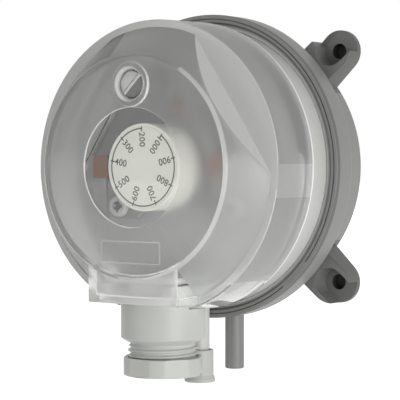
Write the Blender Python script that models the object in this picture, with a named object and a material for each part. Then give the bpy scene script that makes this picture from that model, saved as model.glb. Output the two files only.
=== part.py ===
"""Differential pressure switch: a round, wall-mounted air pressure switch.

The origin is the middle of the rear face that lies on the wall. The axis of the switch
runs along Y and the front faces -Y, so a depth d from the wall is the plane y = -d.
+Z is up and +X is to the right of someone who looks at the dial. Lengths are metres.
"""

import math

import bmesh
import bpy
from mathutils import Matrix, Vector

MM = 0.001

# Fits and facets
GAP = 0.3 * MM                  # air between two pieces that touch on the real switch
SLIP = 0.4 * MM                 # air round a piece that is slid or turned into another
BITE = 1.0 * MM                 # how far an added form reaches into what carries it
BORE_REACH = 2.0 * MM           # how far a bore runs past the wall that it opens
LARGE_SEGMENTS = 44
INNER_SEGMENTS = 32
MEDIUM_SEGMENTS = 24
SMALL_SEGMENTS = 14

# Depths of the housing, each counted from the one before
BACK_HEIGHT = 15.0 * MM
RIM_HEIGHT = 7.9 * MM
BAND_HEIGHT = 7.9 * MM
PANEL_RISE = 3.2 * MM           # from the cover's rear edge to the panel's face
PANEL_THICKNESS = 3.0 * MM
NOSE_HEIGHT = 9.9 * MM

# Base housing, drawn round the upper body that turns into it
RIM_WALL = 2.6 * MM
RIM_CHAMFER = 0.6 * MM
RIM_RIDGE = 0.9 * MM
RIM_GROOVE_WIDTH = 0.4 * MM
RIM_GROOVE_DEPTH = 0.8 * MM
LIP_SINK = 1.0 * MM             # from the rim's front down to the lip over the tabs
BACK_WALL = 4.5 * MM
REAR_WALL = 4.0 * MM
REAR_RECESS_DEPTH = 1.0 * MM
REAR_RECESS_RIM = 6.0 * MM
REAR_PAD_RADIUS = 9.0 * MM
SEAT_SINK = 4.5 * MM            # from the rim's front down to the diaphragm's seat
STOP_POST_RADIUS = 4.0 * MM

# Mounting lugs, one at each corner, with a screw pocket that opens outwards
LUG_INSET = 10.4 * MM           # from the rim's sides and top in to the screw hole
LUG_SIDES = ((1, 1), (-1, 1), (-1, -1), (1, -1))
LUG_HALF_WIDTH = 5.85 * MM
LUG_ROUNDING_STEPS = 8
LUG_HEIGHT = 9.4 * MM           # at the screw hole
LUG_SLOPE_ANGLE = 12.0          # the front falls away outwards
LUG_FLOOR = 4.0 * MM
LUG_FOOT = (1.4 * MM, 2.4 * MM)     # how far the foot is drawn in, and up to what depth
LUG_POCKET_RADIUS = 4.3 * MM
LUG_WALL_END = 2.1 * MM         # the upper lugs' outer wall stops this far inside the hole
LUG_HOLE_RADIUS = 2.15 * MM
LUG_WEB = (0.8 * MM, 0.4 * MM)  # depth and thickness of the web that the screw breaks

# Pressure ports, plain spigots for a 6 mm hose
PORT_RADIUS = 2.75 * MM
PORT_BORE_RADIUS = 1.5 * MM
PORT_LENGTH = 15.7 * MM         # from the rim down
PORT_CHAMFER = 0.4 * MM
REAR_PORT_DEPTH = 8.3 * MM

# Diaphragm and the plates that clamp it
DIAPHRAGM_THICKNESS = 0.6 * MM
BEAD_INSET = 3.6 * MM           # from the body's outside in to the middle of the bead
BEAD_WIDTH = 2.0 * MM
BEAD_DEPTH = 1.5 * MM
BEAD_LAND = 1.2 * MM
WAVE_WIDTH = 4.0 * MM           # the rolled fold that lets the middle travel
WAVE_HEIGHT = 2.0 * MM
WAVE_STEPS = 4
PLATE_INSET = 7.5 * MM          # from the chamber's wall in to the plates' edge
PLATE_THICKNESS = 1.2 * MM
PLATE_RIM = 1.4 * MM

# Upper body
BODY_RADIUS = 38.3 * MM
TAB_REACH = 1.2 * MM            # bayonet tabs, turned in under the rim's lip
TAB_HEIGHT = 1.2 * MM
TAB_SPREAD_ANGLE = 26.0
TAB_ANGLES = (0, 90, 180, 270)
NOTCH_TURN = 45.0
NOTCH_SLACK_ANGLE = 2.0
HUB_RADIUS = 6.0 * MM
HUB_LENGTH = 4.0 * MM
POST_WALL = 2.1 * MM
POST_HEIGHT = 11.5 * MM
POST_FLOOR = 1.0 * MM
PILOT_FLOOR = 0.6 * MM

# Cover
COVER_STEP = 1.54 * MM          # the cover's rear edge stands out past the body's band
COVER_DRAFT = 0.44 * MM
COVER_WALL = 1.8 * MM
LEDGE_WIDTH = 2.0 * MM
CONE_RUN = 7.2 * MM
FLAT_STANDOFF = 0.3 * MM        # the two flats stand outside the front plate's edge
FLAT_ANGLES = (33, 147)
NOSE_CHAMFER = (0.3 * MM, 0.4 * MM)
FRONT_BAND = 1.5 * MM
RELIEF = 0.3 * MM               # depth of the shallow steps in the front plate
WINDOW_MARGIN = 4.3 * MM        # from the dial's side out to the window's edge
LABEL_SIZE = (20.0 * MM, 6.0 * MM)
LABEL_INSET = 7.6 * MM
CHIN_OVERLAP = 8.0 * MM
CHIN_CLEARANCE = 0.7 * MM
SLOT_LAND = (1.1 * MM, 0.9 * MM)    # beside and before the slot for the gland
GRIP_TOP = 0.4 * MM
GRIP_WIDTH = 4.1 * MM
GRIP_PROUD = 0.5 * MM
COVER_SCREW_HEIGHT = 21.8 * MM
BOSS_WALL = 1.4 * MM
BOSS_PROUD = 0.6 * MM
WELL_CLEARANCE = 1.0 * MM

# Seal between the cover and the body
SEAL_WIRE = 0.7 * MM
SEAL_STEPS = 30
SEAL_SIDES = 6

# Cover screw and carrier screws: head radius and height, shank radius
COVER_SCREW_HEAD = (3.6 * MM, 2.4 * MM)
COVER_SCREW_SHANK = 1.8 * MM
HEAD_SINK = 0.4 * MM
SLOT_WIDTH = 1.0 * MM
SLOT_DEPTH = 1.1 * MM
SCREW_POINT_SHARE = 0.6
HEAD_CROWN_SHARES = (0.85, 0.75)
CROSS_SLOT_SHARE = 0.6
CARRIER_SCREW_X = 19.4 * MM
CARRIER_SCREW_Z = -11.0 * MM
CARRIER_SCREW_HEAD = (3.0 * MM, 1.6 * MM)
CARRIER_SCREW_SHANK = 1.3 * MM

# Switch carrier
CARRIER_PLATE = 2.0 * MM
CARRIER_MARGIN = 1.0 * MM
CARRIER_SHOULDER = 2.0 * MM
CARRIER_WAIST = 3.0 * MM
SCREW_EAR = 5.0 * MM
TOWER_WALL = 2.8 * MM
COMMON_POST_REACH = 3.5 * MM
OPEN_POST_MARGIN = 0.8 * MM

# Contacts and their terminals
TERMINAL_WIDTH = 6.3 * MM
TERMINAL_THICKNESS = 0.8 * MM
TERMINAL_X = 17.0 * MM          # the rivet and the contacts lie on this circle
TERMINAL_PAST_CONTACT = 6.6 * MM
STRIP_END = 2.5 * MM
TAB_DROP = 8.0 * MM
OPEN_POST_ANGLE = 70.8
OPEN_STRIP_HALF = 1.9 * MM
OPEN_STRIP_STEPS = 8
OPEN_STRIP_OVERRUN_ANGLE = 7.0
OPEN_TAB_SHIFT = 0.2 * MM
OPEN_TAB_LENGTH = 11.0 * MM
OPEN_TAB_ROOT = 2.0 * MM
CONTACT_RADIUS = 1.5 * MM
CONTACT_HEIGHT = 0.8 * MM
BLADE_THICKNESS = 0.3 * MM
BLADE_HALF_WIDTH = 2.4 * MM
BLADE_TAIL = 2.6 * MM
BLADE_EDGE = 0.5 * MM
RIVET_RADIUS = 1.1 * MM
RIVET_HEAD = (1.7 * MM, 0.6 * MM)
RIVET_CROWN_SHARE = 0.8

# Plunger and spring
ROD_RADIUS = 2.2 * MM
NOSE_RADIUS = 1.4 * MM
PLUNGER_TRAVEL = 0.8 * MM
CUP_RIM = 0.75 * MM
CUP_THICKNESS = 0.8 * MM
SPRING_RADIUS = 4.2 * MM
SPRING_WIRE = 0.35 * MM
SPRING_TURNS = 4
SPRING_STEPS = 12
SPRING_SIDES = 5
BORE_CLEARANCE = 0.6 * MM
SEAT_THICKNESS = 1.8 * MM
SEAT_TRAVEL = 2.5 * MM
SEAT_EAR = 1.5 * MM

# Setting dial
DIAL_CLEARANCE = 4.1 * MM       # from the cover's front plate back to the dial
DIAL_WALL = 2.3 * MM
DIAL_HEIGHT = 10.0 * MM
DIAL_TOP = 2.0 * MM
DIAL_CHAMFER = 0.3 * MM
STEM_RADIUS = 2.6 * MM
SCALE_THICKNESS = 0.4 * MM
SCALE_RIM = 0.7 * MM

# Cable gland
GLAND_STANDOFF = 0.2 * MM       # the neck clears the panel's face
GLAND_RADIUS = 11.4 * MM
GLAND_NECK = 9.2 * MM
GLAND_THREAD = 9.5 * MM
GLAND_BORE = 6.2 * MM
SHELF_INSET = 6.64 * MM         # from the body's spigot up to the shelf
SHELF_THICKNESS = 2.7 * MM
COLLAR_LIP = 1.8 * MM
COLLAR_HEIGHT = 1.5 * MM
BARREL_LENGTH = 13.5 * MM
BARREL_TAPER = 1.6 * MM
NUT_WALL = 1.0 * MM
NUT_FLAT_DEPTH = 0.55 * MM
NUT_FLATS = 6
NUT_TURN = -32.2
NUT_HEIGHT = 4.9 * MM
NUT_STANDOFF = 3.6 * MM
NUT_FLOOR = 1.2 * MM
NUT_HOLE_MARGIN = 0.6 * MM
SEAL_BORE = 4.6 * MM
SEAL_HEIGHT = 4.4 * MM
SEAL_LEAD = (0.8 * MM, 1.2 * MM)
SEAL_WALL_TO_THREAD = 1.4 * MM
WASHER_HEIGHT = 0.8 * MM

# Port cap
CAP_WALL = 0.8 * MM
CAP_LENGTH = 9.0 * MM
CAP_FLANGE_REACH = 0.45 * MM
CAP_FLANGE_HEIGHT = 1.5 * MM

# Radii that follow from the body's radius
rim_bore = BODY_RADIUS + SLIP
rim_undercut = BODY_RADIUS + TAB_REACH + SLIP
rim_radius = rim_undercut + RIM_WALL
bead_radius = BODY_RADIUS - BEAD_INSET
chamber_radius = bead_radius - BEAD_WIDTH / 2 - BEAD_LAND
back_radius = chamber_radius + BACK_WALL
plate_radius = chamber_radius - PLATE_INSET
cover_rear_radius = BODY_RADIUS + COVER_STEP
ledge_radius = cover_rear_radius - COVER_DRAFT
cone_rear_radius = ledge_radius - LEDGE_WIDTH
cone_front_radius = cone_rear_radius - CONE_RUN
flat_reach = cone_front_radius + FLAT_STANDOFF
cover_inner_radius = cover_rear_radius - COVER_WALL
spigot_radius = cover_inner_radius - SLIP
seal_radius = cover_inner_radius - GAP - SEAL_WIRE
port_end = -(rim_radius + PORT_LENGTH)

# Radii that follow from the spring's radius
cup_inner = SPRING_RADIUS + SPRING_WIRE + GAP
cup_radius = cup_inner + CUP_RIM
tower_bore = cup_radius + BORE_CLEARANCE
tower_radius = tower_bore + TOWER_WALL
dial_inner = tower_radius + SLIP
dial_radius = dial_inner + DIAL_WALL
window_radius = dial_radius + WINDOW_MARGIN

# Depths that follow, from the wall forwards
rim_rear = BACK_HEIGHT
rim_front = rim_rear + RIM_HEIGHT
cover_rear = rim_front + BAND_HEIGHT
panel_front = cover_rear + PANEL_RISE
panel_rear = panel_front - PANEL_THICKNESS
post_front = panel_front + POST_HEIGHT
seal_depth = cover_rear + PANEL_RISE / 2
slot_half = GLAND_RADIUS + SLIP
gland_depth = panel_front + GLAND_STANDOFF + GLAND_NECK
plate_inner = gland_depth + slot_half + SLOT_LAND[1]
front = plate_inner + COVER_WALL
ledge = front - NOSE_HEIGHT
ledge_inner = ledge - COVER_WALL
screw_head_rear = front - COVER_SCREW_HEAD[1] - HEAD_SINK
front_port_depth = rim_front + GAP + PORT_RADIUS

# Depths of the diaphragm and the contacts
seat = rim_front - SEAT_SINK
diaphragm_rear = seat + GAP
diaphragm_front = diaphragm_rear + DIAPHRAGM_THICKNESS
body_rear = diaphragm_front + GAP
lip_rear = body_rear + TAB_HEIGHT + GAP
plate_rear = diaphragm_front + GAP
plunger_rear = diaphragm_rear - GAP - PLATE_THICKNESS
carrier_rear = panel_front + GAP
carrier_front = carrier_rear + CARRIER_PLATE
closed_rear = carrier_front + GAP
closed_front = closed_rear + TERMINAL_THICKNESS
tip_rear = closed_front + TERMINAL_THICKNESS + GAP
blade_rear = tip_rear + CONTACT_HEIGHT
blade_front = blade_rear + BLADE_THICKNESS
tip_front = blade_front + CONTACT_HEIGHT
common_rear = blade_rear - GAP - TERMINAL_THICKNESS
open_tip = tip_front + 2 * PLUNGER_TRAVEL + 2 * GAP
open_rear = open_tip + CONTACT_HEIGHT
open_front = open_rear + TERMINAL_THICKNESS
pad_rear = open_front + 2 * GAP

# Depths of the spring and the dial, from the dial back to the plunger's cup
dial_front = plate_inner - DIAL_CLEARANCE
dial_top_rear = dial_front - DIAL_TOP
tower_front = dial_top_rear - SLIP
seat_front = tower_front
seat_rear = seat_front - SEAT_THICKNESS
spring_front = seat_rear - GAP
cup_rear = blade_front + GAP
cup_front = cup_rear + CUP_THICKNESS
spring_rear = cup_front + GAP

# Sizes across the contacts and the cover
terminal_reach = TERMINAL_X + TERMINAL_PAST_CONTACT
closed_rivet_x = TERMINAL_X + CONTACT_RADIUS + RIVET_HEAD[0] + SLIP
open_post = (TERMINAL_X * math.cos(math.radians(OPEN_POST_ANGLE)),
             TERMINAL_X * math.sin(math.radians(OPEN_POST_ANGLE)))
well_radius = COVER_SCREW_HEAD[0] + WELL_CLEARANCE
boss_radius = well_radius + BOSS_WALL
chin_inner_half = slot_half + SLOT_LAND[0]
chin_half = chin_inner_half + COVER_WALL
chin_top = -(cone_front_radius - CHIN_OVERLAP)

# Heights of the shelf and of the gland that hangs in it
shelf_top = -(spigot_radius - SHELF_INSET)
shelf_bottom = shelf_top - SHELF_THICKNESS
chin_bottom = shelf_bottom - CHIN_CLEARANCE - COVER_WALL
collar_top = shelf_top + GAP + COLLAR_HEIGHT
barrel_top = shelf_bottom - GAP
barrel_bottom = barrel_top - BARREL_LENGTH
nut_top = barrel_bottom - NUT_STANDOFF
nut_bottom = nut_top - NUT_HEIGHT
nut_floor = nut_bottom + NUT_FLOOR
washer_bottom = nut_floor + GAP
washer_top = washer_bottom + WASHER_HEIGHT
seal_bottom = washer_top + GAP
seal_top = seal_bottom + SEAL_HEIGHT
seal_outer = GLAND_THREAD - SEAL_WALL_TO_THREAD

for old_object in list(bpy.data.objects):
    bpy.data.objects.remove(old_object, do_unlink=True)


# Materials
def make_material(name, colour, roughness, metallic=0.0, alpha=1.0):
    material = bpy.data.materials.new(name)
    material.use_nodes = True
    shader = material.node_tree.nodes["Principled BSDF"]
    shader.inputs["Base Color"].default_value = (*colour, 1.0)
    shader.inputs["Roughness"].default_value = roughness
    shader.inputs["Metallic"].default_value = metallic
    shader.inputs["Alpha"].default_value = alpha
    return material


GREY_NYLON = make_material("grey_nylon", (0.22, 0.22, 0.213), 0.55)
WHITE_NYLON = make_material("white_nylon", (0.60, 0.60, 0.565), 0.45)
IVORY_NYLON = make_material("ivory_nylon", (0.74, 0.735, 0.66), 0.4)
LIGHT_GREY_NYLON = make_material("light_grey_nylon", (0.56, 0.57, 0.54), 0.42)
CLEAR_STYRENE = make_material("clear_styrene", (0.80, 0.81, 0.79), 0.2, alpha=0.35)
SILICONE = make_material("silicone_rubber", (0.33, 0.11, 0.07), 0.62)
BLACK_RUBBER = make_material("black_rubber", (0.028, 0.028, 0.028), 0.6)
BRASS = make_material("tinned_brass", (0.40, 0.26, 0.19), 0.38, metallic=1.0)
SPRING_COPPER = make_material("spring_copper", (0.70, 0.40, 0.24), 0.3, metallic=1.0)
SILVER = make_material("contact_silver", (0.80, 0.79, 0.75), 0.28, metallic=1.0)
STEEL = make_material("zinc_plated_steel", (0.60, 0.61, 0.60), 0.34, metallic=1.0)


# Building helpers
def add_object(name, mesh_builder, material, location=(0, 0, 0), parent=None):
    """Turn a finished bmesh into a named object that stands at a world location."""
    bmesh.ops.recalc_face_normals(mesh_builder, faces=mesh_builder.faces)
    mesh = bpy.data.meshes.new(name)
    mesh_builder.to_mesh(mesh)
    mesh_builder.free()
    mesh.shade_smooth()
    mesh.set_sharp_from_angle(angle=math.radians(30))
    if material:
        mesh.materials.append(material)
    new_object = bpy.data.objects.new(name, mesh)
    bpy.context.scene.collection.objects.link(new_object)
    new_object.location = Vector(location)
    if parent:
        new_object.parent = parent
        new_object.location -= parent.location
    return new_object


def add_cutter(name, mesh_builder, location=(0, 0, 0)):
    cutter = add_object(name, mesh_builder, None, location)
    cutter.hide_render = True
    cutter.display_type = "WIRE"
    return cutter


def combine(target, pieces, operation):
    """One Boolean for a whole group of pieces, which keeps thin edges clean."""
    group = bpy.data.collections.new(f"{target.name}_{operation.lower()}")
    bpy.context.scene.collection.children.link(group)
    for piece in pieces:
        bpy.context.scene.collection.objects.unlink(piece)
        group.objects.link(piece)
    modifier = target.modifiers.new(group.name, "BOOLEAN")
    modifier.operation = operation
    modifier.operand_type = "COLLECTION"
    modifier.collection = group
    modifier.solver = "EXACT"


def cut(target, cutters):
    combine(target, cutters, "DIFFERENCE")


def join(target, pieces):
    combine(target, pieces, "UNION")


def turned(profile, segments, axis="Y"):
    """Revolve (radius, distance) points: distance is a depth on Y, or a height on Z."""
    builder = bmesh.new()
    if axis == "Y":
        points = [Vector((radius, -distance, 0)) for radius, distance in profile]
        direction = Vector((0, 1, 0))
    else:
        points = [Vector((radius, 0, distance)) for radius, distance in profile]
        direction = Vector((0, 0, 1))
    corners = [builder.verts.new(point) for point in points]
    edges = [builder.edges.new(pair) for pair in zip(corners, corners[1:])]
    if profile[0][0] > 0:
        edges.append(builder.edges.new((corners[-1], corners[0])))
    bmesh.ops.spin(builder, geom=corners + edges, cent=(0, 0, 0), axis=direction,
                   angle=2 * math.pi, steps=segments, use_merge=True)
    bmesh.ops.remove_doubles(builder, verts=builder.verts, dist=0.001 * MM)
    return builder


def swept_wire(path, wire, sides):
    """A round wire along (radius, depth, angle) points about the switch's axis."""
    builder = bmesh.new()
    rings = []
    for radius, depth, angle in path:
        ring = []
        for side in range(sides):
            turn = 2 * math.pi * side / sides
            reach = radius + wire * math.cos(turn)
            ring.append(builder.verts.new((reach * math.cos(angle),
                                           -depth + wire * math.sin(turn),
                                           reach * math.sin(angle))))
        rings.append(ring)
    for first, second in zip(rings, rings[1:]):
        for side in range(sides):
            after = (side + 1) % sides
            builder.faces.new((first[side], first[after], second[after], second[side]))
    builder.faces.new(rings[0])
    builder.faces.new(rings[-1][::-1])
    return builder


def extrude_faces(builder, faces, shift):
    extruded = bmesh.ops.extrude_face_region(builder, geom=faces)
    moved = [item for item in extruded["geom"] if isinstance(item, bmesh.types.BMVert)]
    bmesh.ops.translate(builder, verts=moved, vec=shift)


def layered(layers):
    """One solid through outlines of (x, z) points, each at its own depth."""
    builder = bmesh.new()
    rings = [[builder.verts.new((x, -depth, z)) for x, z in outline] for depth, outline in layers]
    for first, second in zip(rings, rings[1:]):
        for corner in range(len(first)):
            before = corner - 1
            builder.faces.new((first[before], first[corner], second[corner], second[before]))
    builder.faces.new(rings[0])
    builder.faces.new(rings[-1][::-1])
    return builder


def slab(outline, depth_from, depth_to):
    """Extrude an outline of (x, z) points between two depths."""
    return layered([(depth_from, outline), (depth_to, outline)])


def turn_in_plane(builder, degrees):
    """Turn a piece about the switch's axis, counter-clockwise as seen from the front."""
    turn = Matrix.Rotation(-math.radians(degrees), 4, "Y")
    bmesh.ops.rotate(builder, verts=builder.verts, cent=(0, 0, 0), matrix=turn)
    return builder


def block(x_range, depth_range, z_range):
    (left, right), (low, high) = sorted(x_range), sorted(z_range)
    outline = [(left, low), (right, low), (right, high), (left, high)]
    return slab(outline, *depth_range)


def bent_strip(path, thickness, half_width):
    """A flat strip bent along (x, depth) points, as wide in Z as it is stamped."""
    builder = bmesh.new()
    inner, outer = [], []
    for index, point in enumerate(path):
        before = Vector(path[max(index - 1, 0)])
        after = Vector(path[min(index + 1, len(path) - 1)])
        here = Vector(point)
        arrive = (here - before).normalized() if index else (after - here).normalized()
        leave = (after - here).normalized() if index < len(path) - 1 else arrive
        miter = Vector((-(arrive.y + leave.y), arrive.x + leave.x))
        miter = miter / miter.dot(Vector((-arrive.y, arrive.x)))
        inner.append(here - miter * thickness / 2)
        outer.append(here + miter * thickness / 2)
    outline = inner + outer[::-1]
    corners = [builder.verts.new((x, -depth, -half_width)) for x, depth in outline]
    extrude_faces(builder, [builder.faces.new(corners)], (0, 0, 2 * half_width))
    return builder


def arc(radius, start_degrees, end_degrees, steps, centre=(0, 0)):
    """Points (x, z) along an arc, both ends included."""
    angles = [math.radians(start_degrees + (end_degrees - start_degrees) * step / steps)
              for step in range(steps + 1)]
    return [(centre[0] + radius * math.cos(angle), centre[1] + radius * math.sin(angle))
            for angle in angles]


def ring_sector(inner, outer, start_degrees, end_degrees, depth_from, depth_to, steps=5):
    outline = (arc(outer, start_degrees, end_degrees, steps)
               + arc(inner, end_degrees, start_degrees, steps))
    return slab(outline, depth_from, depth_to)


def rod(radius, depth_from, depth_to, segments=SMALL_SEGMENTS):
    return turned([(0, depth_from), (radius, depth_from), (radius, depth_to), (0, depth_to)],
                  segments)


def at(x, z):
    return (x, 0, z)


# Base housing: the rear half of the pressure chamber, with its lugs and its port
def build_base_housing():
    ridge_inner = rim_undercut + GAP
    groove_inner = ridge_inner + RIM_RIDGE
    groove_outer = groove_inner + RIM_GROOVE_WIDTH
    recess_radius = back_radius - REAR_RECESS_RIM
    bead_inner = bead_radius - BEAD_WIDTH / 2 - GAP
    bead_outer = bead_radius + BEAD_WIDTH / 2 + GAP
    profile = [
        (0, 0),
        (REAR_PAD_RADIUS, 0),
        (REAR_PAD_RADIUS, REAR_RECESS_DEPTH),
        (recess_radius, REAR_RECESS_DEPTH),
        (recess_radius, 0),
        (back_radius - RIM_CHAMFER, 0),
        (back_radius, RIM_CHAMFER),
        (back_radius, rim_rear),
        (rim_radius - RIM_CHAMFER, rim_rear),
        (rim_radius, rim_rear + RIM_CHAMFER),
        (rim_radius, rim_front - RIM_CHAMFER),
        (rim_radius - RIM_CHAMFER, rim_front),
        (groove_outer, rim_front),
        (groove_outer, rim_front - RIM_GROOVE_DEPTH),
        (groove_inner, rim_front - RIM_GROOVE_DEPTH),
        (groove_inner, rim_front),
        (ridge_inner, rim_front),
        (ridge_inner, rim_front - LIP_SINK),
        (rim_bore, rim_front - LIP_SINK),
        (rim_bore, lip_rear),
        (rim_undercut, lip_rear),
        (rim_undercut, seat),
        (bead_outer, seat),
        (bead_outer, seat - BEAD_DEPTH),
        (bead_inner, seat - BEAD_DEPTH),
        (bead_inner, seat),
        (chamber_radius, seat),
        (chamber_radius, REAR_WALL),
        (STOP_POST_RADIUS, REAR_WALL),
        (STOP_POST_RADIUS, plunger_rear - GAP),
        (0, plunger_rear - GAP),
    ]
    base = add_object("base_housing", turned(profile, LARGE_SEGMENTS), GREY_NYLON)
    additions, cutters = build_port("rear", REAR_PORT_DEPTH, back_radius)
    for side_x, side_z in LUG_SIDES:
        lug, lug_cutters = build_lug(side_x, side_z)
        additions.append(lug)
        cutters += lug_cutters
    half_angle = (TAB_SPREAD_ANGLE + NOTCH_SLACK_ANGLE) / 2
    for degrees in TAB_ANGLES:
        middle = degrees + NOTCH_TURN
        notch = ring_sector(BODY_RADIUS, rim_undercut, middle - half_angle, middle + half_angle,
                            lip_rear - GAP, rim_front + GAP)
        cutters.append(add_cutter(f"tab_notch_{degrees}", notch))
    join(base, additions)
    cut(base, cutters)


def build_lug(side_x, side_z):
    """A corner lug, and the cutters for its pocket and its hole."""
    name = f"lug_{'upper' if side_z > 0 else 'lower'}_{'right' if side_x > 0 else 'left'}"
    x = side_x * (rim_radius - LUG_INSET)
    z = side_z * (rim_radius - LUG_INSET)
    place = at(x, z)
    degrees = math.degrees(math.atan2(side_z, side_x))
    root = (back_radius + chamber_radius) / 2 - math.hypot(x, z)
    foot_inset, foot_height = LUG_FOOT
    foot, outline = [arc(half, -90, 90, LUG_ROUNDING_STEPS) + [(root, half), (root, -half)]
                     for half in (LUG_HALF_WIDTH - foot_inset, LUG_HALF_WIDTH)]
    lug = layered([(0, foot), (foot_height, outline), (LUG_HEIGHT, outline)])
    for corner in lug.verts:
        if corner.co.y < -LUG_FLOOR:
            corner.co.y += corner.co.x * math.tan(math.radians(LUG_SLOPE_ANGLE))
    turn_in_plane(lug, degrees)
    depths = (LUG_FLOOR, rim_rear - GAP)
    beyond = 2 * LUG_HALF_WIDTH
    channel = block((0, beyond), depths, (-LUG_POCKET_RADIUS, LUG_POCKET_RADIUS))
    web_rear, web_thickness = LUG_WEB
    hole_front = rod(LUG_HOLE_RADIUS, web_rear + web_thickness, LUG_FLOOR + GAP)
    cutters = [
        add_cutter(f"{name}_channel", turn_in_plane(channel, degrees), place),
        add_cutter(f"{name}_pocket", rod(LUG_POCKET_RADIUS, *depths), place),
        add_cutter(f"{name}_hole_front", hole_front, place),
        add_cutter(f"{name}_hole_rear", rod(LUG_HOLE_RADIUS, -GAP, web_rear), place),
    ]
    if side_z > 0:
        open_side = block((-LUG_WALL_END, beyond), depths, (0, side_x * beyond))
        cutters.append(add_cutter(f"{name}_open_side", turn_in_plane(open_side, degrees), place))
    return add_cutter(name, lug, place), cutters


def build_port(name, depth, body_radius):
    """A hose spigot that hangs below a round body, and the bore into its chamber."""
    root = (chamber_radius + body_radius) / 2
    spigot = turned([(0, port_end), (PORT_RADIUS - PORT_CHAMFER, port_end),
                     (PORT_RADIUS, port_end + PORT_CHAMFER), (PORT_RADIUS, -root),
                     (0, -root)], SMALL_SEGMENTS, "Z")
    bore = turned([(0, port_end - GAP), (PORT_BORE_RADIUS, port_end - GAP),
                   (PORT_BORE_RADIUS, -chamber_radius + BORE_REACH),
                   (0, -chamber_radius + BORE_REACH)], SMALL_SEGMENTS, "Z")
    centre = (0, -depth, 0)
    return ([add_cutter(f"{name}_spigot", spigot, centre)],
            [add_cutter(f"{name}_bore", bore, centre)])


# Diaphragm assembly: a rolled rubber disc between two plates, pushed by the pressure
def build_diaphragm():
    bead_inner = bead_radius - BEAD_WIDTH / 2
    bead_outer = bead_radius + BEAD_WIDTH / 2
    wave_middle = (chamber_radius + plate_radius) / 2
    front_wave, rear_wave = [], []
    for step in range(WAVE_STEPS + 1):
        share = step / WAVE_STEPS
        radius = wave_middle - WAVE_WIDTH / 2 + WAVE_WIDTH * share
        rise = WAVE_HEIGHT * math.sin(math.pi * share)
        front_wave.append((radius, diaphragm_front - rise))
        rear_wave.append((radius, diaphragm_rear - rise))
    hole = ROD_RADIUS + GAP
    profile = ([(hole, diaphragm_rear)] + rear_wave
               + [(bead_inner, diaphragm_rear), (bead_inner, seat - BEAD_DEPTH + GAP),
                  (bead_outer, seat - BEAD_DEPTH + GAP), (bead_outer, diaphragm_front)]
               + front_wave[::-1] + [(hole, diaphragm_front)])
    return add_object("diaphragm", turned(profile, INNER_SEGMENTS), SILICONE)


def build_plunger():
    """Moulded plunger: the rear diaphragm plate and the rod are one piece."""
    shoulder = blade_rear - GAP
    profile = [
        (0, plunger_rear),
        (plate_radius - PLATE_RIM, plunger_rear),
        (plate_radius, plunger_rear + PLATE_THICKNESS / 2),
        (plate_radius, plunger_rear + PLATE_THICKNESS),
        (ROD_RADIUS, plunger_rear + PLATE_THICKNESS),
        (ROD_RADIUS, shoulder),
        (NOSE_RADIUS, shoulder),
        (NOSE_RADIUS, cup_front + CUP_THICKNESS),
        (0, cup_front + CUP_THICKNESS),
    ]
    return add_object("plunger", turned(profile, INNER_SEGMENTS), WHITE_NYLON)


def build_front_plate(plunger):
    plate_front = plate_rear + PLATE_THICKNESS
    hole = ROD_RADIUS + GAP
    profile = [
        (hole, plate_rear),
        (plate_radius, plate_rear),
        (plate_radius, plate_front),
        (plate_radius - PLATE_RIM, plate_front),
        (plate_radius - PLATE_RIM, plate_rear + PLATE_THICKNESS / 2),
        (HUB_RADIUS, plate_rear + PLATE_THICKNESS / 2),
        (HUB_RADIUS, plate_front),
        (hole, plate_front),
    ]
    return add_object("front_diaphragm_plate", turned(profile, INNER_SEGMENTS), STEEL,
                      parent=plunger)


# Upper body: the front half of the chamber, and the panel that carries the switch
def build_upper_body():
    shoulder = cover_rear - GAP
    groove = seal_radius - SEAL_WIRE - GAP
    groove_half = SEAL_WIRE + GAP
    profile = [
        (chamber_radius, body_rear),
        (BODY_RADIUS, body_rear),
        (BODY_RADIUS, shoulder),
        (spigot_radius, shoulder),
        (spigot_radius, seal_depth - groove_half),
        (groove, seal_depth - groove_half),
        (groove, seal_depth + groove_half),
        (spigot_radius, seal_depth + groove_half),
        (spigot_radius, panel_front),
        (ROD_RADIUS + GAP, panel_front),
        (ROD_RADIUS + GAP, panel_rear - HUB_LENGTH),
        (HUB_RADIUS, panel_rear - HUB_LENGTH),
        (HUB_RADIUS, panel_rear),
        (chamber_radius, panel_rear),
    ]
    body = add_object("upper_body", turned(profile, LARGE_SEGMENTS), WHITE_NYLON)
    additions, cutters = build_port("front", front_port_depth, BODY_RADIUS)
    half_angle = TAB_SPREAD_ANGLE / 2
    for degrees in TAB_ANGLES:
        tab = ring_sector(BODY_RADIUS - BITE, BODY_RADIUS + TAB_REACH, degrees - half_angle,
                          degrees + half_angle, body_rear, body_rear + TAB_HEIGHT)
        additions.append(add_cutter(f"bayonet_tab_{degrees}", tab))
    post = rod(COVER_SCREW_SHANK + GAP + POST_WALL, panel_front - GAP, post_front, MEDIUM_SEGMENTS)
    shelf_half = chin_inner_half - SLIP
    shelf = block((-shelf_half, shelf_half), (panel_front - GAP, plate_inner - GAP),
                  (shelf_bottom, shelf_top))
    additions += [add_cutter("cover_post", post, at(0, COVER_SCREW_HEIGHT)),
                  add_cutter("gland_shelf", shelf)]
    screw_hole = rod(COVER_SCREW_SHANK + GAP, panel_front + POST_FLOOR, post_front + GAP)
    cutters += [build_gland_notch(), build_gland_relief(),
                add_cutter("cover_screw_hole", screw_hole, at(0, COVER_SCREW_HEIGHT))]
    for side in (-1, 1):
        pilot = rod(CARRIER_SCREW_SHANK + GAP, panel_rear + PILOT_FLOOR, panel_front + GAP)
        cutters.append(add_cutter(f"carrier_pilot_{side}", pilot,
                                  at(side * CARRIER_SCREW_X, CARRIER_SCREW_Z)))
    join(body, additions)
    cut(body, cutters)


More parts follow.
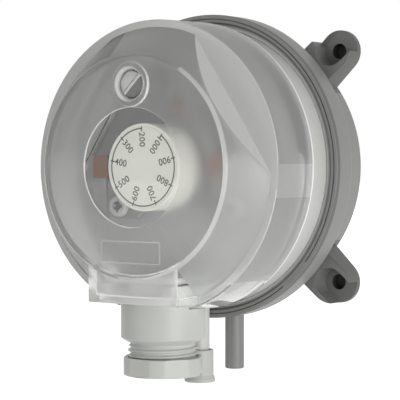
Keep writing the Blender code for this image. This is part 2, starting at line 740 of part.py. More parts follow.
def build_gland_notch():
    """The open-fronted slot in the shelf that the gland's neck slides into."""
    half = GLAND_NECK + GAP
    outline = arc(half, 0, 180, 12) + [(-half, -2 * GLAND_NECK), (half, -2 * GLAND_NECK)]
    builder = bmesh.new()
    corners = [builder.verts.new((x, y, shelf_bottom - GAP)) for x, y in outline]
    extrude_faces(builder, [builder.faces.new(corners)], (0, 0, SHELF_THICKNESS + 2 * GAP))
    return add_cutter("gland_notch", builder, (0, -gland_depth, 0))


def build_gland_relief():
    """Room for the gland's barrel where it passes the body's spigot."""
    top = shelf_bottom - GAP / 2
    profile = [(0, -rim_radius), (slot_half, -rim_radius), (slot_half, top), (0, top)]
    return add_cutter("gland_relief", turned(profile, MEDIUM_SEGMENTS, "Z"),
                      (0, -gland_depth, 0))


def build_cover_seal():
    """A cord in the spigot's groove, open where the gland passes."""
    half_gap = math.degrees(math.asin((slot_half + 2 * SLIP) / seal_radius))
    sweep = 360 - 2 * half_gap
    path = [(seal_radius, seal_depth, math.radians(-90 + half_gap + sweep * step / SEAL_STEPS))
            for step in range(SEAL_STEPS + 1)]
    return add_object("cover_seal", swept_wire(path, SEAL_WIRE, SEAL_SIDES), BLACK_RUBBER)


# Switch carrier: the plate and the slotted tower that hold the contacts and the spring
def build_switch_carrier():
    wing = terminal_reach + TERMINAL_THICKNESS
    wing_half = TERMINAL_WIDTH / 2 + CARRIER_MARGIN
    shoulder = wing_half + CARRIER_SHOULDER
    foot = CARRIER_SCREW_Z - CARRIER_SCREW_HEAD[0] - SLIP
    post_x, post_z = open_post
    post_half = RIVET_HEAD[0] + OPEN_POST_MARGIN
    outline = [
        (wing, wing_half), (TERMINAL_X, shoulder), (post_x + post_half, post_z),
        (post_x + post_half, post_z + post_half), (post_x - CARRIER_MARGIN, post_z + post_half),
        (-TERMINAL_X + CARRIER_WAIST, shoulder), (-wing, wing_half), (-wing, foot),
        (-CARRIER_SCREW_X + SCREW_EAR, foot), (-tower_radius, -tower_radius),
        (tower_radius, -tower_radius), (CARRIER_SCREW_X - SCREW_EAR, foot), (wing, foot),
    ]
    carrier = add_object("switch_carrier", slab(outline, carrier_rear, carrier_front),
                         LIGHT_GREY_NYLON)
    tower = rod(tower_radius, carrier_front - GAP, tower_front, MEDIUM_SEGMENTS)
    common_post_end = -TERMINAL_X + COMMON_POST_REACH
    common_post = block((-wing, common_post_end), (carrier_front - GAP, common_rear - GAP),
                        (-wing_half, wing_half))
    open_pillar = rod(post_half, carrier_front - GAP, open_rear - GAP)
    join(carrier, [add_cutter("tower", tower), add_cutter("common_post", common_post),
                   add_cutter("open_pillar", open_pillar, at(*open_post))])
    bore = rod(tower_bore, carrier_front, tower_front + GAP, MEDIUM_SEGMENTS)
    rod_hole = rod(ROD_RADIUS + GAP, carrier_rear - GAP, carrier_front + GAP)
    slot_half_width = BLADE_HALF_WIDTH + SLIP
    blade_slot = block((common_post_end, TERMINAL_X), (tip_rear - GAP, tip_front + CONTACT_HEIGHT + GAP),
                       (-slot_half_width, slot_half_width))
    ear_half = SEAT_EAR / 2 + GAP
    ear_reach = tower_bore + SEAT_EAR + GAP
    ear_slot = block((-ear_half, ear_half), (seat_rear - SEAT_TRAVEL - GAP, tower_front + GAP),
                     (-ear_reach, ear_reach))
    cutters = [add_cutter("tower_bore", bore), add_cutter("rod_hole", rod_hole),
               add_cutter("blade_slot", blade_slot), add_cutter("ear_slot", ear_slot)]
    for side in (-1, 1):
        hole = rod(CARRIER_SCREW_SHANK + GAP, carrier_rear - GAP, carrier_front + GAP)
        place = at(side * CARRIER_SCREW_X, CARRIER_SCREW_Z)
        cutters.append(add_cutter(f"carrier_hole_{side}", hole, place))
    rivet_places = ((-TERMINAL_X, 0, common_rear), (closed_rivet_x, 0, carrier_front),
                    (*open_post, open_rear))
    for index, (x, z, top) in enumerate(rivet_places):
        hole = rod(RIVET_RADIUS + GAP, carrier_rear - GAP, top + GAP)
        cutters.append(add_cutter(f"rivet_hole_{index}", hole, at(x, z)))
    cut(carrier, cutters)


def build_side_terminal(name, side, strip_rear):
    """A strip from a contact out to the carrier's edge, bent forwards into a push-on tab."""
    half = TERMINAL_WIDTH / 2
    middle = TERMINAL_THICKNESS / 2
    bend = side * (terminal_reach - middle)
    pad_end = bend - side * TERMINAL_WIDTH
    path = [(side * (TERMINAL_X - STRIP_END), strip_rear + middle), (bend, strip_rear + middle),
            (bend, pad_rear + middle), (pad_end, pad_rear + middle)]
    terminal = add_object(name, bent_strip(path, TERMINAL_THICKNESS, half), BRASS)
    tab = block((side * (terminal_reach - TERMINAL_WIDTH), side * terminal_reach),
                (pad_rear, pad_rear + TERMINAL_THICKNESS), (-half - TAB_DROP, -half + BITE))
    return terminal, add_cutter(f"{name}_tab", tab)


def build_open_terminal():
    """A strip that runs round the dial from the upper contact to its own push-on tab."""
    post_x, post_z = open_post
    start = -math.degrees(OPEN_STRIP_HALF / TERMINAL_X)
    strip = ring_sector(TERMINAL_X - OPEN_STRIP_HALF, TERMINAL_X + OPEN_STRIP_HALF, start,
                        OPEN_POST_ANGLE + OPEN_STRIP_OVERRUN_ANGLE, open_rear, open_front,
                        OPEN_STRIP_STEPS)
    terminal = add_object("normally_open_terminal", strip, BRASS)
    tab_left = post_x + OPEN_TAB_SHIFT
    tab_root = post_z - OPEN_TAB_ROOT
    tab = block((tab_left, tab_left + TERMINAL_WIDTH), (open_rear, open_front),
                (tab_root, tab_root + OPEN_TAB_LENGTH))
    return terminal, add_cutter("open_tab", tab)


def build_terminals():
    common, common_tab = build_side_terminal("common_terminal", -1, common_rear)
    join(common, [common_tab])
    closed, closed_tab = build_side_terminal("normally_closed_terminal", 1, closed_rear)
    closed_contact = rod(CONTACT_RADIUS, closed_front - GAP, tip_rear - GAP)
    join(closed, [closed_tab, add_cutter("closed_contact", closed_contact, at(TERMINAL_X, 0))])
    opened, open_tab = build_open_terminal()
    open_contact = rod(CONTACT_RADIUS, open_tip, open_rear + GAP)
    join(opened, [open_tab, add_cutter("open_contact", open_contact, at(TERMINAL_X, 0))])
    rivets = (("common", common, (-TERMINAL_X, 0), blade_front + GAP),
              ("closed", closed, (closed_rivet_x, 0), closed_front + GAP),
              ("open", opened, open_post, open_front + GAP))
    head_radius, head_height = RIVET_HEAD
    for name, terminal, (x, z), head_rear in rivets:
        hole = rod(RIVET_RADIUS + GAP, carrier_rear, head_rear)
        cut(terminal, [add_cutter(f"{name}_rivet_eye", hole, at(x, z))])
        profile = [(0, carrier_rear + GAP), (RIVET_RADIUS, carrier_rear + GAP),
                   (RIVET_RADIUS, head_rear), (head_radius, head_rear),
                   (head_radius * RIVET_CROWN_SHARE, head_rear + head_height),
                   (0, head_rear + head_height)]
        add_object(f"{name}_rivet", turned(profile, SMALL_SEGMENTS), SILVER, at(x, z))


def build_blade():
    """Snap blade: it swings about the rivet that holds it to the common terminal."""
    pivot = Vector((-TERMINAL_X, -(blade_rear + blade_front) / 2, 0))
    half = BLADE_HALF_WIDTH
    tail = -TERMINAL_X - BLADE_TAIL
    shoulder = ROD_RADIUS * 3
    outline = ([(tail, -half), (shoulder, -half)]
               + arc(CONTACT_RADIUS + BLADE_EDGE, -60, 60, 4, (TERMINAL_X, 0))
               + [(shoulder, half), (tail, half)])
    builder = slab(outline, blade_rear, blade_front)
    bmesh.ops.translate(builder, verts=builder.verts, vec=-pivot)
    blade = add_object("contact_blade", builder, SPRING_COPPER, pivot)
    holes = (("rod", NOSE_RADIUS + 2 * GAP, 0), ("rivet", RIVET_RADIUS + GAP, -TERMINAL_X),
             ("tip", RIVET_RADIUS / 2 + GAP, TERMINAL_X))
    cut(blade, [add_cutter(f"blade_{hole}_hole", rod(radius, blade_rear - GAP, blade_front + GAP),
                           at(x, 0)) for hole, radius, x in holes])
    shank = RIVET_RADIUS / 2
    profile = [
        (0, tip_rear), (CONTACT_RADIUS, tip_rear), (CONTACT_RADIUS, blade_rear - GAP),
        (shank, blade_rear - GAP), (shank, blade_front + GAP),
        (CONTACT_RADIUS, blade_front + GAP), (CONTACT_RADIUS, tip_front), (0, tip_front),
    ]
    add_object("moving_contact", turned(profile, SMALL_SEGMENTS), SILVER, at(TERMINAL_X, 0), blade)


# Spring, its seat and its cup
def build_spring_parts(plunger):
    rim = cup_front + CUP_THICKNESS / 2
    profile = [
        (NOSE_RADIUS + GAP, cup_rear), (cup_radius, cup_rear), (cup_radius, rim),
        (cup_inner, rim), (cup_inner, cup_front), (NOSE_RADIUS + GAP, cup_front),
    ]
    add_object("spring_cup", turned(profile, MEDIUM_SEGMENTS), WHITE_NYLON, parent=plunger)
    steps = SPRING_TURNS * SPRING_STEPS
    start = spring_rear + SPRING_WIRE
    climb = spring_front - SPRING_WIRE - start
    path = [(SPRING_RADIUS, start + climb * step / steps, 2 * math.pi * step / SPRING_STEPS)
            for step in range(steps + 1)]
    add_object("range_spring", swept_wire(path, SPRING_WIRE, SPRING_SIDES), STEEL)
    seat_radius = tower_bore - GAP
    profile = [
        (STEM_RADIUS + GAP, seat_rear), (seat_radius, seat_rear),
        (seat_radius, seat_front), (STEM_RADIUS + GAP, seat_front),
    ]
    spring_seat = add_object("spring_seat", turned(profile, MEDIUM_SEGMENTS), IVORY_NYLON)
    half = SEAT_EAR / 2
    ears = []
    for side in (-1, 1):
        ear = block((-half, half), (seat_rear + GAP, seat_front - GAP),
                    (side * (seat_radius - BITE), side * (tower_bore + SEAT_EAR)))
        ears.append(add_cutter(f"seat_ear_{side}", ear))
    join(spring_seat, ears)


# Dial: a cup that turns on the tower and drives the spring seat with its stem
def build_dial():
    stem_rear = seat_rear - SEAT_TRAVEL + SEAT_THICKNESS / 2
    skirt_rear = dial_front - DIAL_HEIGHT
    well = dial_radius - SCALE_RIM
    well_floor = dial_front - SCALE_THICKNESS - GAP
    profile = [
        (0, stem_rear), (STEM_RADIUS, stem_rear), (STEM_RADIUS, dial_top_rear),
        (dial_inner, dial_top_rear), (dial_inner, skirt_rear), (dial_radius, skirt_rear),
        (dial_radius, dial_front - DIAL_CHAMFER), (dial_radius - DIAL_CHAMFER, dial_front),
        (well, dial_front), (well, well_floor), (0, well_floor),
    ]
    dial = add_object("dial_knob", turned(profile, INNER_SEGMENTS), IVORY_NYLON)
    scale_rear = dial_front - SCALE_THICKNESS
    profile = [(0, scale_rear), (well - GAP, scale_rear), (well - GAP, dial_front), (0, dial_front)]
    add_object("dial_scale", turned(profile, INNER_SEGMENTS), IVORY_NYLON, parent=dial)


# Cover: one clear moulding with a coned nose, two flats, a chin and a screw boss
def build_flat_cutters(name, reach, depth_from):
    """What lies beyond each flat, as a block in the flat's own frame."""
    far = 2 * rim_radius
    cutters = []
    for degrees in FLAT_ANGLES:
        beyond = block((reach, far), (depth_from, front + BITE), (-far, far))
        cutters.append(add_cutter(f"{name}_flat_{degrees}", turn_in_plane(beyond, degrees)))
    return cutters


def build_cover():
    chamfer_out, chamfer_back = NOSE_CHAMFER
    band_inner = cone_front_radius - FRONT_BAND
    shell_profile = [
        (0, cover_rear), (cover_rear_radius, cover_rear), (ledge_radius, ledge),
        (cone_rear_radius, ledge), (cone_front_radius + chamfer_out, front - chamfer_back),
        (cone_front_radius, front), (band_inner, front), (band_inner, front - RELIEF),
        (0, front - RELIEF),
    ]
    cover = add_object("cover", turned(shell_profile, LARGE_SEGMENTS), CLEAR_STYRENE)
    screw_place = at(0, COVER_SCREW_HEIGHT)
    chin = block((-chin_half, chin_half), (ledge - BITE, front - RELIEF / 2),
                 (chin_bottom, chin_top))
    boss = rod(boss_radius, ledge, front + BOSS_PROUD, MEDIUM_SEGMENTS)
    additions = [add_cutter("chin", chin), add_cutter("screw_boss", boss, screw_place)]
    for side in (-1, 1):
        inner = side * (cover_inner_radius + COVER_WALL / 3)
        outer = side * (cover_rear_radius + GRIP_PROUD)
        grip = block((inner, outer), (cover_rear + GAP, ledge - GAP),
                     (GRIP_TOP - GRIP_WIDTH, GRIP_TOP))
        additions.append(add_cutter(f"grip_{side}", grip))
    join(cover, additions)
    step = front - 2 * RELIEF
    slot = block((-slot_half, slot_half), (cover_rear - GAP, gland_depth + slot_half),
                 (-rim_radius, shelf_bottom))
    window = rod(window_radius, step, front + GAP, INNER_SEGMENTS)
    label_half = LABEL_SIZE[0] / 2
    label_middle = -(cone_front_radius - LABEL_INSET)
    label = block((-label_half, label_half), (step, front + GAP),
                  (label_middle - LABEL_SIZE[1] / 2, label_middle + LABEL_SIZE[1] / 2))
    well = rod(well_radius, screw_head_rear - GAP, front + 2 * BOSS_PROUD, MEDIUM_SEGMENTS)
    shank_hole = rod(COVER_SCREW_SHANK + GAP, post_front, front)
    cut(cover, build_flat_cutters("outer", flat_reach, ledge) + [
        build_cover_hollow(),
        add_cutter("gland_slot", slot),
        add_cutter("dial_window", window),
        add_cutter("label_place", label),
        add_cutter("boss_well", well, screw_place),
        add_cutter("boss_hole", shank_hole, screw_place),
    ])
    return cover


def build_cover_hollow():
    """The room inside the cover: the outside form drawn in by the wall."""
    mouth = cover_rear - BORE_REACH
    profile = [
        (0, mouth), (cover_inner_radius, mouth), (cover_inner_radius, cover_rear),
        (ledge_radius - COVER_WALL, ledge_inner), (cone_rear_radius - COVER_WALL, ledge_inner),
        (cone_front_radius - COVER_WALL, plate_inner), (0, plate_inner),
    ]
    hollow = add_cutter("cover_hollow", turned(profile, LARGE_SEGMENTS))
    chin_hollow = block((-chin_inner_half, chin_inner_half),
                        (ledge_inner - BORE_REACH, plate_inner - RELIEF / 2),
                        (chin_bottom + COVER_WALL, chin_top + BORE_REACH))
    join(hollow, [add_cutter("chin_hollow", chin_hollow)])
    column = rod(boss_radius, post_front + SLIP, front + GAP, MEDIUM_SEGMENTS)
    flats = build_flat_cutters("inner", flat_reach - COVER_WALL, ledge_inner)
    cut(hollow, flats + [add_cutter("boss_column", column, at(0, COVER_SCREW_HEIGHT))])
    return hollow


# Screws
def build_screw(name, place, head_rear, head, shank, tip, parent=None, slots=(45,)):
    head_radius, head_height = head
    head_front = head_rear + head_height
    crown_radius, crown_height = HEAD_CROWN_SHARES
    point = shank * SCREW_POINT_SHARE
    profile = [
        (0, tip), (point, tip), (shank, tip + point), (shank, head_rear),
        (head_radius, head_rear), (head_radius, head_rear + head_height * crown_height),
        (head_radius * crown_radius, head_front), (0, head_front),
    ]
    screw = add_object(name, turned(profile, SMALL_SEGMENTS), STEEL, at(*place), parent)
    reach = head_radius + GAP if len(slots) == 1 else head_radius * CROSS_SLOT_SHARE
    cutters = []
    for degrees in slots:
        slot = block((-reach, reach), (head_front - SLOT_DEPTH, head_front + GAP),
                     (-SLOT_WIDTH / 2, SLOT_WIDTH / 2))
        cutters.append(add_cutter(f"{name}_slot_{degrees}", turn_in_plane(slot, degrees),
                                  at(*place)))
    cut(screw, cutters)


# Cable gland: body, rubber seal, slip washer and nut on one upright axis
def build_gland():
    centre = (0, -gland_depth, 0)
    inner_seat = seal_top + GAP
    thread_end = nut_floor + GAP
    profile = [
        (GLAND_BORE, inner_seat),
        (seal_outer + GAP, inner_seat),
        (seal_outer + GAP, thread_end),
        (GLAND_THREAD, thread_end),
        (GLAND_THREAD, barrel_bottom),
        (GLAND_RADIUS, barrel_bottom + BARREL_TAPER),
        (GLAND_RADIUS, barrel_top),
        (GLAND_NECK, barrel_top),
        (GLAND_NECK, collar_top),
        (GLAND_BORE, collar_top),
    ]
    gland = add_object("gland_body", turned(profile, MEDIUM_SEGMENTS, "Z"), LIGHT_GREY_NYLON,
                       centre)
    collar_half = GLAND_NECK + COLLAR_LIP
    collar = block((-collar_half, collar_half), (panel_front + SLIP, gland_depth + collar_half),
                   (shelf_top + GAP, collar_top + GAP))
    bore = turned([(0, inner_seat - GAP), (GLAND_BORE, inner_seat - GAP),
                   (GLAND_BORE, collar_top + 2 * GAP), (0, collar_top + 2 * GAP)],
                  MEDIUM_SEGMENTS, "Z")
    join(gland, [add_cutter("gland_collar", collar)])
    cut(gland, [add_cutter("gland_bore", bore, centre)])
    nut_hole = SEAL_BORE + NUT_HOLE_MARGIN
    ring = [(nut_hole, washer_bottom), (seal_outer, washer_bottom),
            (seal_outer, washer_top), (nut_hole, washer_top)]
    add_object("gland_washer", turned(ring, MEDIUM_SEGMENTS, "Z"), WHITE_NYLON, centre)
    ring = [(SEAL_BORE, seal_bottom), (seal_outer, seal_bottom), (seal_outer, seal_top),
            (SEAL_BORE + SEAL_LEAD[0], seal_top), (SEAL_BORE, seal_top - SEAL_LEAD[1])]
    add_object("gland_seal", turned(ring, MEDIUM_SEGMENTS, "Z"), BLACK_RUBBER, centre)
    build_nut(centre, nut_hole)


def build_nut(centre, hole):
    """A round nut with six flats, closed below down to the cable's hole."""
    bore = GLAND_THREAD + GAP
    outside = bore + NUT_WALL
    profile = [(bore, nut_top), (bore, nut_floor), (hole, nut_floor), (hole, nut_bottom),
               (outside, nut_bottom), (outside, nut_top)]
    nut = add_object("gland_nut", turned(profile, MEDIUM_SEGMENTS, "Z"), LIGHT_GREY_NYLON, centre)
    flats = []
    for flat in range(NUT_FLATS):
        beyond = block((outside - NUT_FLAT_DEPTH, 2 * outside), (-outside, outside),
                       (nut_bottom - GAP, nut_top + GAP))
        turn = Matrix.Rotation(math.radians(NUT_TURN + 360 * flat / NUT_FLATS), 4, "Z")
        bmesh.ops.rotate(beyond, verts=beyond.verts, cent=(0, 0, 0), matrix=turn)
        flats.append(add_cutter(f"nut_flat_{flat}", beyond, centre))
    cut(nut, flats)


# Port cap: a sleeve with a flange, closed below, pushed over the front port
def build_port_cap():
    inner = PORT_RADIUS + GAP
    outer = inner + CAP_WALL
    flange = outer + CAP_FLANGE_REACH
    bore_end = port_end - GAP
    floor = bore_end - CAP_FLANGE_HEIGHT
    profile = [
        (0, bore_end), (inner, bore_end), (inner, floor + CAP_LENGTH), (outer, floor + CAP_LENGTH),
        (outer, bore_end), (flange, floor + CAP_FLANGE_HEIGHT / 2), (flange, floor), (0, floor),
    ]
    add_object("port_cap", turned(profile, SMALL_SEGMENTS, "Z"), IVORY_NYLON,
               (0, -front_port_depth, 0))


build_base_housing()
build_diaphragm()
plunger_object = build_plunger()
build_front_plate(plunger_object)
build_upper_body()
build_cover_seal()
build_switch_carrier()
build_terminals()
build_blade()
build_spring_parts(plunger_object)
build_dial()
cover_object = build_cover()
build_screw("cover_screw", (0, COVER_SCREW_HEIGHT), screw_head_rear, COVER_SCREW_HEAD,
            COVER_SCREW_SHANK, panel_front + POST_FLOOR + GAP, cover_object)
for side_name, side_sign in (("left", -1), ("right", 1)):
    build_screw(f"carrier_screw_{side_name}", (side_sign * CARRIER_SCREW_X, CARRIER_SCREW_Z),
                carrier_front + GAP, CARRIER_SCREW_HEAD, CARRIER_SCREW_SHANK,
                panel_rear + PILOT_FLOOR + GAP, None, (0, 90))
build_gland()
build_port_cap()
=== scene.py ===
"""Looks of a round differential pressure switch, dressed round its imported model.

The wall face is the plane y = 0 and the front of the switch faces -Y, so a depth of d
from the wall is y = -d. Sizes are millimetres until add_piece turns them into metres.
"""

import math

import bmesh
import bpy
from mathutils import Matrix, Vector


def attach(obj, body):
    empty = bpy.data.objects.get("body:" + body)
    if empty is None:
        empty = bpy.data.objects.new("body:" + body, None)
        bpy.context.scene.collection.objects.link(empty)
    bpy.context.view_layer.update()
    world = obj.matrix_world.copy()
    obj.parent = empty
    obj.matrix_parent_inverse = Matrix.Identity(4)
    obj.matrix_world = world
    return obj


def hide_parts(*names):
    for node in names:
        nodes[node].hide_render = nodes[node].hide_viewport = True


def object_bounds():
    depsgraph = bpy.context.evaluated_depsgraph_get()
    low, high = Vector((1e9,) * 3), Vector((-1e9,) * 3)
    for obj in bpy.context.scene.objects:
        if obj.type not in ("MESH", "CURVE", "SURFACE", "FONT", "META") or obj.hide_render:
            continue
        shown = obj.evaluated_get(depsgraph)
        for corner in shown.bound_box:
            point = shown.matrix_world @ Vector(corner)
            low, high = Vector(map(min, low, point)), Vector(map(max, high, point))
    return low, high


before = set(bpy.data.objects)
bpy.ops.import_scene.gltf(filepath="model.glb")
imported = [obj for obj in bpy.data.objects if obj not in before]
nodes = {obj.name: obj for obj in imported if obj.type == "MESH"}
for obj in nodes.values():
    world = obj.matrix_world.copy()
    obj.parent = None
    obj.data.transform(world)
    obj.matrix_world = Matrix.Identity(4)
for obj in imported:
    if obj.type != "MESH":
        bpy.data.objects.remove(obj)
cad_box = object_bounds()
scene = bpy.context.scene
scene.view_settings.view_transform = "Standard"


# The room
# A pale floor under the switch, one wide soft lamp at the right of the camera, a weak one at
# its left and an even white surround. The camera stands where the photograph's stood.
camera_turn = math.radians(34.76)
camera_rise = math.radians(1.57)
camera_distance = 0.450
camera_pan = (-0.00618, -0.00952)
focal_pixels = 1581.1
picture_pixels = 400
sensor_width = 36
aim = Vector((0, -0.015, 0))
ambient = 0.36
white = 1.0
seen_through = 0.22
floor_reach = 3
floor_drop = 0.0005
floor_glow = (0.65, 0.15)

backward = Vector((math.sin(camera_turn) * math.cos(camera_rise),
                   -math.cos(camera_turn) * math.cos(camera_rise),
                   math.sin(camera_rise)))
rightward = Vector((math.cos(camera_turn), math.sin(camera_turn), 0))
upward = backward.cross(rightward)
camera_data = bpy.data.cameras.new("camera")
camera_data.sensor_width = sensor_width
camera_data.lens = focal_pixels * sensor_width / picture_pixels
camera_data.clip_start = 0.01
camera = bpy.data.objects.new("camera", camera_data)
stand = aim + backward * camera_distance + rightward * camera_pan[0] + upward * camera_pan[1]
camera.matrix_world = Matrix.Translation(stand) @ Matrix(
    (rightward, upward, backward)).transposed().to_4x4()
scene.collection.objects.link(camera)
scene.camera = camera

lamps = {
    "right_lamp": ((0.66, -0.29, -0.10), 0.50, 3.1),
    "left_lamp": ((-0.45, -0.50, 0.35), 0.45, 0.65),
    "low_lamp": ((0.42, -0.20, -0.40), 0.40, 0.5),
}
for name, (place, size, power) in lamps.items():
    lamp_data = bpy.data.lights.new(name, "AREA")
    lamp_data.shape = "DISK"
    lamp_data.size = size
    lamp_data.energy = power
    lamp = bpy.data.objects.new(name, lamp_data)
    lamp.location = place
    lamp.rotation_euler = (aim - Vector(place)).to_track_quat("-Z", "Y").to_euler()
    scene.collection.objects.link(lamp)


def add_node(tree, kind, inputs=(), **settings):
    """A shader node. Each input takes a value or another node's output."""
    node = tree.nodes.new("ShaderNode" + kind)
    for name, setting in settings.items():
        setattr(node, name, setting)
    for name, source in dict(inputs).items():
        if isinstance(source, bpy.types.NodeSocket):
            tree.links.new(source, node.inputs[name])
        else:
            node.inputs[name].default_value = source
    return node


def sum_of(tree, operation, *terms):
    """One sum over values or node outputs."""
    return add_node(tree, "Math", enumerate(terms), operation=operation).outputs[0]


def rays(tree, *kinds):
    """1 for light rays of these kinds, 0 for the others."""
    sight = add_node(tree, "LightPath").outputs
    chosen = sight[f"Is {kinds[0]} Ray"]
    for kind in kinds[1:]:
        chosen = sum_of(tree, "MAXIMUM", chosen, sight[f"Is {kind} Ray"])
    return chosen


world = bpy.data.worlds.new("surround")
scene.world = world
world.use_nodes = True
tree = world.node_tree
background = tree.nodes["Background"]
background.inputs["Color"].default_value = (1, 1, 1, 1)
level = add_node(tree, "Mix",
                 {"Factor": rays(tree, "Camera", "Glossy"), "A": ambient, "B": white})
brightness = add_node(tree, "Mix",
                      {"Factor": rays(tree, "Transmission"), "A": level.outputs["Result"],
                       "B": seen_through})
tree.links.new(brightness.outputs["Result"], background.inputs["Strength"])

floor_mesh = bpy.data.meshes.new("floor")
builder = bmesh.new()
bmesh.ops.create_grid(builder, x_segments=1, y_segments=1, size=floor_reach)
builder.to_mesh(floor_mesh)
builder.free()
floor = bpy.data.objects.new("floor", floor_mesh)
floor.location = (0, 0, cad_box[0].z - floor_drop)
scene.collection.objects.link(floor)
floor_paint = bpy.data.materials.new("floor_paint")
floor_paint.use_nodes = True
tree = floor_paint.node_tree
shader = tree.nodes["Principled BSDF"]
shader.inputs["Base Color"].default_value = (0.86, 0.86, 0.86, 1)
shader.inputs["Roughness"].default_value = 0.9
shader.inputs["Emission Color"].default_value = (1, 1, 1, 1)
glow = sum_of(tree, "MULTIPLY_ADD", rays(tree, "Camera", "Transmission", "Glossy"), *floor_glow)
tree.links.new(glow, shader.inputs["Emission Strength"])
floor_mesh.materials.append(floor_paint)
floor.visible_shadow = False


# Base housing
# The rear half, moulded in grey glass-filled nylon with a dull skin. The upper body turns into
# its rim, four lugs screw it to the wall, and the spigot for the higher pressure hangs below.
rim_radius = 42.5
back_radius = 37.0
chamber_radius = 32.5
body_radius = 38.6
bore_radius = 38.7
fit = 0.4
gap = 0.3
rim_rear = 15.0
rim_front = 22.9
membrane_seat = 18.4
rear_wall = 4.0
recess = (9.0, 31.0, 1.0)
lip_sink = 0.7
ridge = (40.2, 41.1)
rim_groove = (41.1, 41.4, 0.4)
groove_sweeps = ((-38, 218), (232, 308))
lug_place = 32.1
lug_sides = ((1, 1), (-1, 1), (-1, -1), (1, -1))
lug_half = 5.85
lug_height = 9.4
lug_slope = 12
lug_floor = 4.0
lug_foot = (1.4, 2.4)
lug_pocket = 4.3
lug_wall_end = 2.1
lug_hole = 2.15
lug_web = (0.8, 1.2)
spigot_radius = 2.75
spigot_bore = 1.5
spigot_end = -58.2
rear_port_depth = 8.3
undercut = bore_radius + 1.2
tab_rear = 19.6
lip_rear = tab_rear + 1.5
stop_radius = 4.0
stop_front = 16.6
fillet_steps = 5
edge_steps = 3
crease = math.radians(32)


def rounded_path(corners, closed=False):
    """Corner points (a, b, fillet) with each fillet drawn as a short curve."""
    path = []
    for index, corner in enumerate(corners):
        here = Vector(corner[:2])
        at_end = not closed and index in (0, len(corners) - 1)
        if len(corner) < 3 or at_end:
            path.append(here)
            continue
        arrive = Vector(corners[index - 1][:2]) - here
        leave = Vector(corners[(index + 1) % len(corners)][:2]) - here
        reach = corner[2] / math.tan(arrive.angle(leave) / 2)
        reach = min(reach, arrive.length / 2, leave.length / 2)
        start = here + arrive.normalized() * reach
        end = here + leave.normalized() * reach
        for step in range(fillet_steps + 1):
            share = step / fillet_steps
            path.append(start.lerp(here, share).lerp(here.lerp(end, share), share))
    return path


def turned(corners, segments=192, axis="Y", closed=False, shape=None):
    """Revolve a rounded profile of (radius, distance). shape may change a point's radius."""
    made = bmesh.new()
    rings = []
    for radius, distance in rounded_path(corners, closed):
        if radius < 0.001:
            point = (0, -distance, 0) if axis == "Y" else (0, 0, distance)
            rings.append([made.verts.new(point)] * segments)
            continue
        ring = []
        for step in range(segments):
            angle = 2 * math.pi * step / segments
            reach = shape(radius, distance, angle) if shape else radius
            across, along = reach * math.cos(angle), reach * math.sin(angle)
            point = (across, -distance, along) if axis == "Y" else (across, along, distance)
            ring.append(made.verts.new(point))
        rings.append(ring)
    following = rings[1:] + rings[:1] if closed else rings[1:]
    for first, second in zip(rings, following):
        for step in range(segments):
            after = (step + 1) % segments
            corners_round = [first[step], first[after], second[after], second[step]]
            made.faces.new(list(dict.fromkeys(corners_round)))
    bmesh.ops.recalc_face_normals(made, faces=made.faces)
    return made


def drawn_in(outline, inset):
    """An outline moved inwards by the same distance on every side."""
    moved = []
    for index, point in enumerate(outline):
        here = Vector(point)
        arrive = (here - Vector(outline[index - 1])).normalized()
        leave = (Vector(outline[(index + 1) % len(outline)]) - here).normalized()
        inward = Vector((-arrive.y - leave.y, arrive.x + leave.x))
        moved.append(here + inward * inset / (1 + arrive.dot(leave)))
    return moved


def prism(outline, low, high, fillet=0.0, axis="Y", foot=None):
    """Extrude an outline, given counter-clockwise, with its end edges rounded. The foot is
    how far its low end is drawn in, and up to what distance."""
    levels = [(0.0, low), (0.0, high)]
    if fillet:
        curve = [math.radians(90 * step / edge_steps) for step in range(edge_steps + 1)]
        rise = [(fillet * (1 - math.sin(turn)), fillet * (1 - math.cos(turn))) for turn in curve]
        levels = ([(inset, low + up) for inset, up in rise]
                  + [(inset, high - up) for inset, up in reversed(rise)])
    if foot:
        half = len(levels) // 2
        levels = ([(foot[0] + inset, distance) for inset, distance in levels[:half]]
                  + [(0.0, low + foot[1])] + levels[half:])
    made = bmesh.new()
    rings = []
    for inset, distance in levels:
        ring = []
        for across, along in drawn_in(outline, inset):
            point = (across, -distance, along) if axis == "Y" else (across, along, distance)
            ring.append(made.verts.new(point))
        rings.append(ring)
    for first, second in zip(rings, rings[1:]):
        for step in range(len(outline)):
            after = (step + 1) % len(outline)
            made.faces.new((first[step], first[after], second[after], second[step]))
    made.faces.new(rings[0][::-1])
    made.faces.new(rings[-1])
    bmesh.ops.recalc_face_normals(made, faces=made.faces)
    return made


def rod(radius, low, high, segments=48, axis="Y"):
    return turned([(0, low), (radius, low), (radius, high), (0, high)], segments, axis)


def box_outline(left, right, low, high, corner=0.0):
    corners = [(left, low), (right, low), (right, high), (left, high)]
    if corner:
        corners = [(*point, corner) for point in corners]
    return rounded_path(corners, closed=True)


def arc(radius, start, end, steps):
    angles = [math.radians(start + (end - start) * step / steps) for step in range(steps + 1)]
    return [(radius * math.cos(angle), radius * math.sin(angle)) for angle in angles]


def placed(made, x=0.0, depth=0.0, z=0.0, turn=0.0):
    """Turn a bmesh about the switch's axis, counter-clockwise from the front, and shift it."""
    spin = Matrix.Rotation(-math.radians(turn), 4, "Y")
    made.transform(Matrix.Translation((x, -depth, z)) @ spin)
    return made


